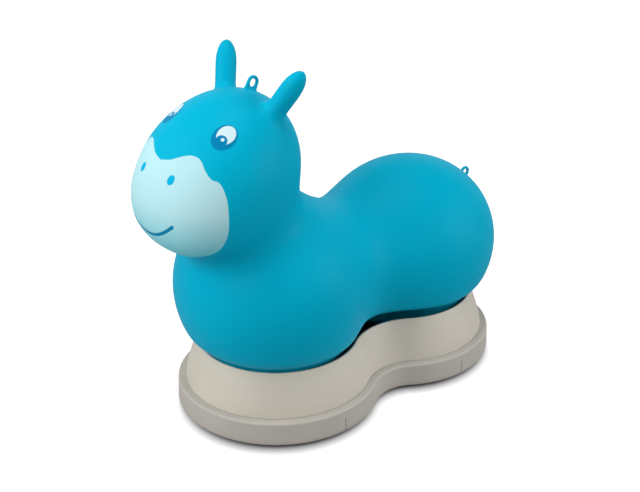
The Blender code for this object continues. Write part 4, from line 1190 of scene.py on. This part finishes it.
class HOPPER_OT_body(bpy.types.Operator):
    """Builds the blown-up body and its two hanging loops"""

    bl_idname = "hopper.body"
    bl_label = "Blown-up body"

    def execute(self, context):
        settings = context.scene.hopper
        vinyl = vinyl_finish(settings)
        skin = blown_mesh(body_blockout, body_distance, 0.0, settings.voxel)
        flange = (VALVE_FLANGE_RADIUS + SEAT_GAP, SKIN_THICKNESS + VALVE_SEAT)
        sleeve = (VALVE_SLEEVE_RADIUS + SEAT_GAP, VALVE_HOLE_FOOT)
        hole = turned_mesh(stepped(VALVE_HOLE_TOP, flange, sleeve))
        hole.transform(Matrix.Translation(VALVE_PLACE))
        skin = shade(combined(skin, "DIFFERENCE", hole, solver="MANIFOLD"), angle=50)
        add_piece("hopper_body", skin, "hopper_skin", vinyl)
        for name, place in LOOPS.items():
            blockout = partial(loop_blockout, *place)
            distance = partial(loop_distance, *place)
            loop = blown_mesh(blockout, distance, 0.0, LOOP_VOXEL, rounds=2)
            add_piece(f"{name}_moulding", loop, name, vinyl)
        return {"FINISHED"}


class HOPPER_OT_valve(bpy.types.Operator):
    """Builds the valve's sleeve and its plug"""

    bl_idname = "hopper.valve"
    bl_label = "Valve"

    def execute(self, context):
        settings = context.scene.hopper_base
        white = moulded_finish("valve_white", settings.valve)
        flange_foot = SKIN_THICKNESS + VALVE_SEAT + SEAT_GAP
        flange_top = flange_foot + VALVE_FLANGE_HEIGHT
        sleeve = [
            (VALVE_FLANGE_RADIUS, flange_top),
            (VALVE_FLANGE_RADIUS, flange_foot),
            (VALVE_SLEEVE_RADIUS, flange_foot),
            (VALVE_SLEEVE_RADIUS, 0.0),
            (VALVE_BORE, 0.0),
            (VALVE_BORE, VALVE_DEPTH),
            (VALVE_SLEEVE_RADIUS - EDGE_BREAK, VALVE_DEPTH),
            (VALVE_SLEEVE_RADIUS, flange_top),
        ]
        plug = [
            (0.0, PLUG_LENGTH),
            (VALVE_BORE - 4 * PLUG_PLAY, PLUG_LENGTH),
            (VALVE_BORE - 2 * PLUG_PLAY, PLUG_LENGTH - PLUG_NOSE),
            (VALVE_BORE - PLUG_PLAY, -SEAT_GAP),
            (PLUG_HEAD_RADIUS, -SEAT_GAP),
            (PLUG_HEAD_RADIUS, -SEAT_GAP - PLUG_HEAD_HEIGHT),
            (0.0, -SEAT_GAP - PLUG_HEAD_HEIGHT),
        ]
        tube = turned_mesh(sleeve, settings.edge / 2)
        add_piece("valve_tube", tube, "valve_sleeve", white, VALVE_PLACE)
        stopper = turned_mesh(plug, settings.edge)
        add_piece("valve_stopper", stopper, "valve_plug", white, VALVE_PLACE)
        return {"FINISHED"}


class HOPPER_OT_shell(bpy.types.Operator):
    """Builds the base's wall, its bumper and the seat deck with its screws"""

    bl_idname = "hopper.shell"
    bl_label = "Base shell"

    def execute(self, context):
        settings = context.scene.hopper_base
        edge = settings.edge
        place = (0, 0, FLOOR_GAP)
        foot = DECK_TOP + SEAT_GAP - FLOOR_GAP
        centres = [(x, y, foot + POST_HEIGHT / 2) for x, y in POSTS]
        posts = cylinder_mesh(POST_RADIUS, POST_HEIGHT, centres)
        depth = SCREW_LENGTH - DECK_THICKNESS
        centres = [(x, y, foot + depth) for x, y in POSTS]
        pilots = cylinder_mesh(SCREW_RADIUS + SEAT_GAP, 2 * depth, centres, segments=24)
        wall = combined(swept_mesh(wall_section(edge)), "UNION", posts)
        wall = shade(combined(wall, "DIFFERENCE", pilots))
        grey = moulded_finish("wall_grey", settings.wall)
        add_piece("base_side_wall", wall, "base_wall", grey, place)
        corners = [(side, end) for side in (-1, 1) for end in (-1, 1)]
        centres = [(side * LOBE_RADIUS, end * LOBE_OFFSET, 0.0) for side, end in corners]
        slits = box_mesh((2 * SLIT_DEPTH, SLIT_WIDTH, 2 * SLIT_HEIGHT), *centres)
        bumper = shade(combined(swept_mesh(bumper_section(edge)), "DIFFERENCE", slits))
        soft = moulded_finish("bumper_grey", settings.bumper)
        add_piece("bumper_strip", bumper, "bumper", soft, place)
        black = moulded_finish("deck_black", settings.deck)
        add_piece("seat_tray", deck_mesh(), "seat_deck", black)
        steel = metal_finish("screw_zinc", settings.steel, SCREW_ROUGHNESS)
        screw = screw_mesh(edge / 2)
        under = DECK_TOP - DECK_THICKNESS - SEAT_GAP
        for number, (x, y) in enumerate(POSTS, start=1):
            name = f"pan_screw_{number}"
            node = f"deck_screw_{number}"
            add_piece(name, screw.copy(), node, steel, (x, y, under))
        return {"FINISHED"}


class HOPPER_OT_castors(bpy.types.Operator):
    """Builds the four castors: bush, stem, fork, axle, hub and tread"""

    bl_idname = "hopper.castors"
    bl_label = "Castors"

    def execute(self, context):
        settings = context.scene.hopper_base
        white = moulded_finish("bush_white", settings.bush)
        black = moulded_finish("castor_black", settings.castor)
        rubber = moulded_finish("tread_grey", settings.tyre)
        steel = metal_finish("castor_zinc", settings.steel, RIVET_ROUGHNESS)
        meshes = castor_meshes(settings.edge)
        rows = (
            ("bush", "sleeve", white, "bush_white"),
            ("stem", "swivel_rivet", steel, "steel"),
            ("fork", "fork_moulding", black, "castor_black"),
            ("axle", "axle_pin", steel, "steel"),
            ("hub", "wheel_hub", black, "castor_black"),
            ("tyre", "tread", rubber, "tyre_grey"),
        )
        for corner, (x, y) in CASTORS.items():
            wheel = (x, y + CASTOR_TRAIL, TYRE_RADIUS)
            for part, piece, material, slot in rows:
                mesh = meshes[part].copy()
                place = wheel if part in WHEEL_PARTS else (x, y, 0.0)
                add_piece(f"{corner}_{piece}", mesh, f"{corner}_{part}", material, place)
        return {"FINISHED"}


class HOPPER_OT_studio(bpy.types.Operator):
    """Builds the pale floor, the soft lamps, the surround and the camera"""

    bl_idname = "hopper.studio"
    bl_label = "Studio"

    def execute(self, context):
        scene = context.scene
        settings = scene.hopper_stage
        self.add_floor(settings)
        self.add_surround(scene, settings.sky)
        for name, (place, size) in LAMPS.items():
            self.add_lamp(f"{name}_lamp", place, size, getattr(settings, name))
        self.add_camera(scene, settings.lens)
        scene.view_settings.view_transform = "Standard"
        return {"FINISHED"}

    def painted_shadow_fade(self, finish, offset, reach):
        """Fade of the painted shadow on the floor: rises from none to one over the reach across
        the base's outline, moved by the offset.
        """
        place = finish.object_point().vector("SUBTRACT", (*offset, 0.0))
        x = abs(place.dot((1.0, 0.0, 0.0)))
        y = abs(place.dot((0.0, 1.0, 0.0)) - BODY_SHIFT)
        lobe = reach_of(x, y - LOBE_OFFSET) - LOBE_RADIUS
        waist = WAIST_RADIUS - reach_of(x - WAIST_X, y)
        by_waist = (x * LOBE_OFFSET + y * WAIST_X).math("LESS_THAN", WAIST_X * LOBE_OFFSET)
        distance = lobe + by_waist * (waist - lobe)
        inputs = {"Value": distance, "From Min": reach[0], "From Max": reach[1]}
        return finish.node("ShaderNodeMapRange", {"interpolation_type": "SMOOTHSTEP"}, inputs)

    def add_floor(self, settings):
        """A wide flat floor: white from above with the toy's shadow painted into its glow, and
        open from below.
        """
        sheet = partial(bmesh.ops.create_grid, x_segments=1, y_segments=1, size=FLOOR_SIZE)
        floor = hold(mesh_from(sheet), "studio_floor")
        constants = {
            "Roughness": 0.9,
            "Emission Strength": settings.glow,
            "Specular IOR Level": 0.0,
        }
        finish = Finish(bpy.data.materials.new("floor_white"), constants)
        seen = finish.node("ShaderNodeLightPath", output="Is Camera Ray")
        finish.feed("Base Color", finish.blend(seen, settings.floor, (FLOOR_SEEN,) * 3))
        behind = finish.node("ShaderNodeNewGeometry", output="Backfacing")
        finish.feed("Alpha", 1.0 - behind)
        # painted shadow: the glow that lifts the floor to white is dimmed along the base's plan
        # outline, once moved toward the near side and once right under the base
        left_by_painted_shadow = self.painted_shadow_fade(finish, SHADE_OFFSET, SHADE_REACH)
        left_by_painted_shadow *= self.painted_shadow_fade(finish, (0.0, 0.0), CONTACT_REACH)
        glow = finish.blend(seen * left_by_painted_shadow, (0.0, 0.0, 0.0), (1.0, 1.0, 1.0))
        finish.feed("Emission Color", glow)
        floor.data.materials.append(finish.owner)

    def add_surround(self, scene, strength):
        """Even light from all round, which the camera and reflections see as white."""
        scene.world = bpy.data.worlds.new("studio_surround")
        surround = Finish(scene.world, {"Color": (1.0, 1.0, 1.0, 1.0)}, "Background")
        seen = surround.node("ShaderNodeLightPath", output="Is Camera Ray")
        mirrored = surround.node("ShaderNodeLightPath", output="Is Glossy Ray")
        inputs = {"Value": seen.most(mirrored), "To Min": strength, "To Max": 1.0}
        surround.feed("Strength", surround.node("ShaderNodeMapRange", {}, inputs))

    def add_lamp(self, name, place, size, power):
        """A square soft lamp that faces the toy."""
        lamp = bpy.data.lights.new(name, "AREA")
        lamp.size = size
        lamp.energy = power
        item = hold(lamp, name)
        item.location = place
        item.rotation_euler = (LAMP_AIM - item.location).to_track_quat("-Z", "Y").to_euler()

    def add_camera(self, scene, lens):
        """The camera at the photograph's angle, by its own three axes."""
        camera = bpy.data.cameras.new("studio_camera")
        camera.lens = lens
        camera.sensor_width = SENSOR_WIDTH
        item = hold(camera, "studio_camera")
        back = CAMERA_RIGHT.cross(CAMERA_UP)
        turn = Matrix((CAMERA_RIGHT, CAMERA_UP, back)).transposed()
        place = Vector((0.0, BODY_SHIFT, FLOOR_GAP)) + turn @ Vector(CAMERA_PLACE)
        item.matrix_world = Matrix.Translation(place) @ turn.to_4x4()
        scene.camera = item


class HOPPER_PT_panel(bpy.types.Panel):
    """Lists the hopper's settings and the steps that build it"""

    bl_label = "Animal hopper"
    bl_idname = "HOPPER_PT_panel"
    bl_space_type = "VIEW_3D"
    bl_region_type = "UI"
    bl_category = "Hopper"

    def draw(self, context):
        scene = context.scene
        for group in (scene.hopper, scene.hopper_base, scene.hopper_stage):
            box = self.layout.box()
            for name in group.__annotations__:
                box.prop(group, name)
        for operator in OPERATORS:
            self.layout.operator(operator.bl_idname)


OPERATORS = (
    HOPPER_OT_body,
    HOPPER_OT_valve,
    HOPPER_OT_shell,
    HOPPER_OT_castors,
    HOPPER_OT_studio,
)
CLASSES = (HopperSettings, BaseSettings, StageSettings, *OPERATORS, HOPPER_PT_panel)


def register():
    for item in CLASSES:
        bpy.utils.register_class(item)
    bpy.types.Scene.hopper = PointerProperty(type=HopperSettings)
    bpy.types.Scene.hopper_base = PointerProperty(type=BaseSettings)
    bpy.types.Scene.hopper_stage = PointerProperty(type=StageSettings)


def unregister():
    del bpy.types.Scene.hopper_stage
    del bpy.types.Scene.hopper_base
    del bpy.types.Scene.hopper
    for item in reversed(CLASSES):
        bpy.utils.unregister_class(item)


def main():
    register()
    bpy.ops.hopper.body()
    bpy.ops.hopper.valve()
    bpy.ops.hopper.shell()
    bpy.ops.hopper.castors()
    bpy.ops.hopper.studio()


if __name__ == "__main__":
    main()
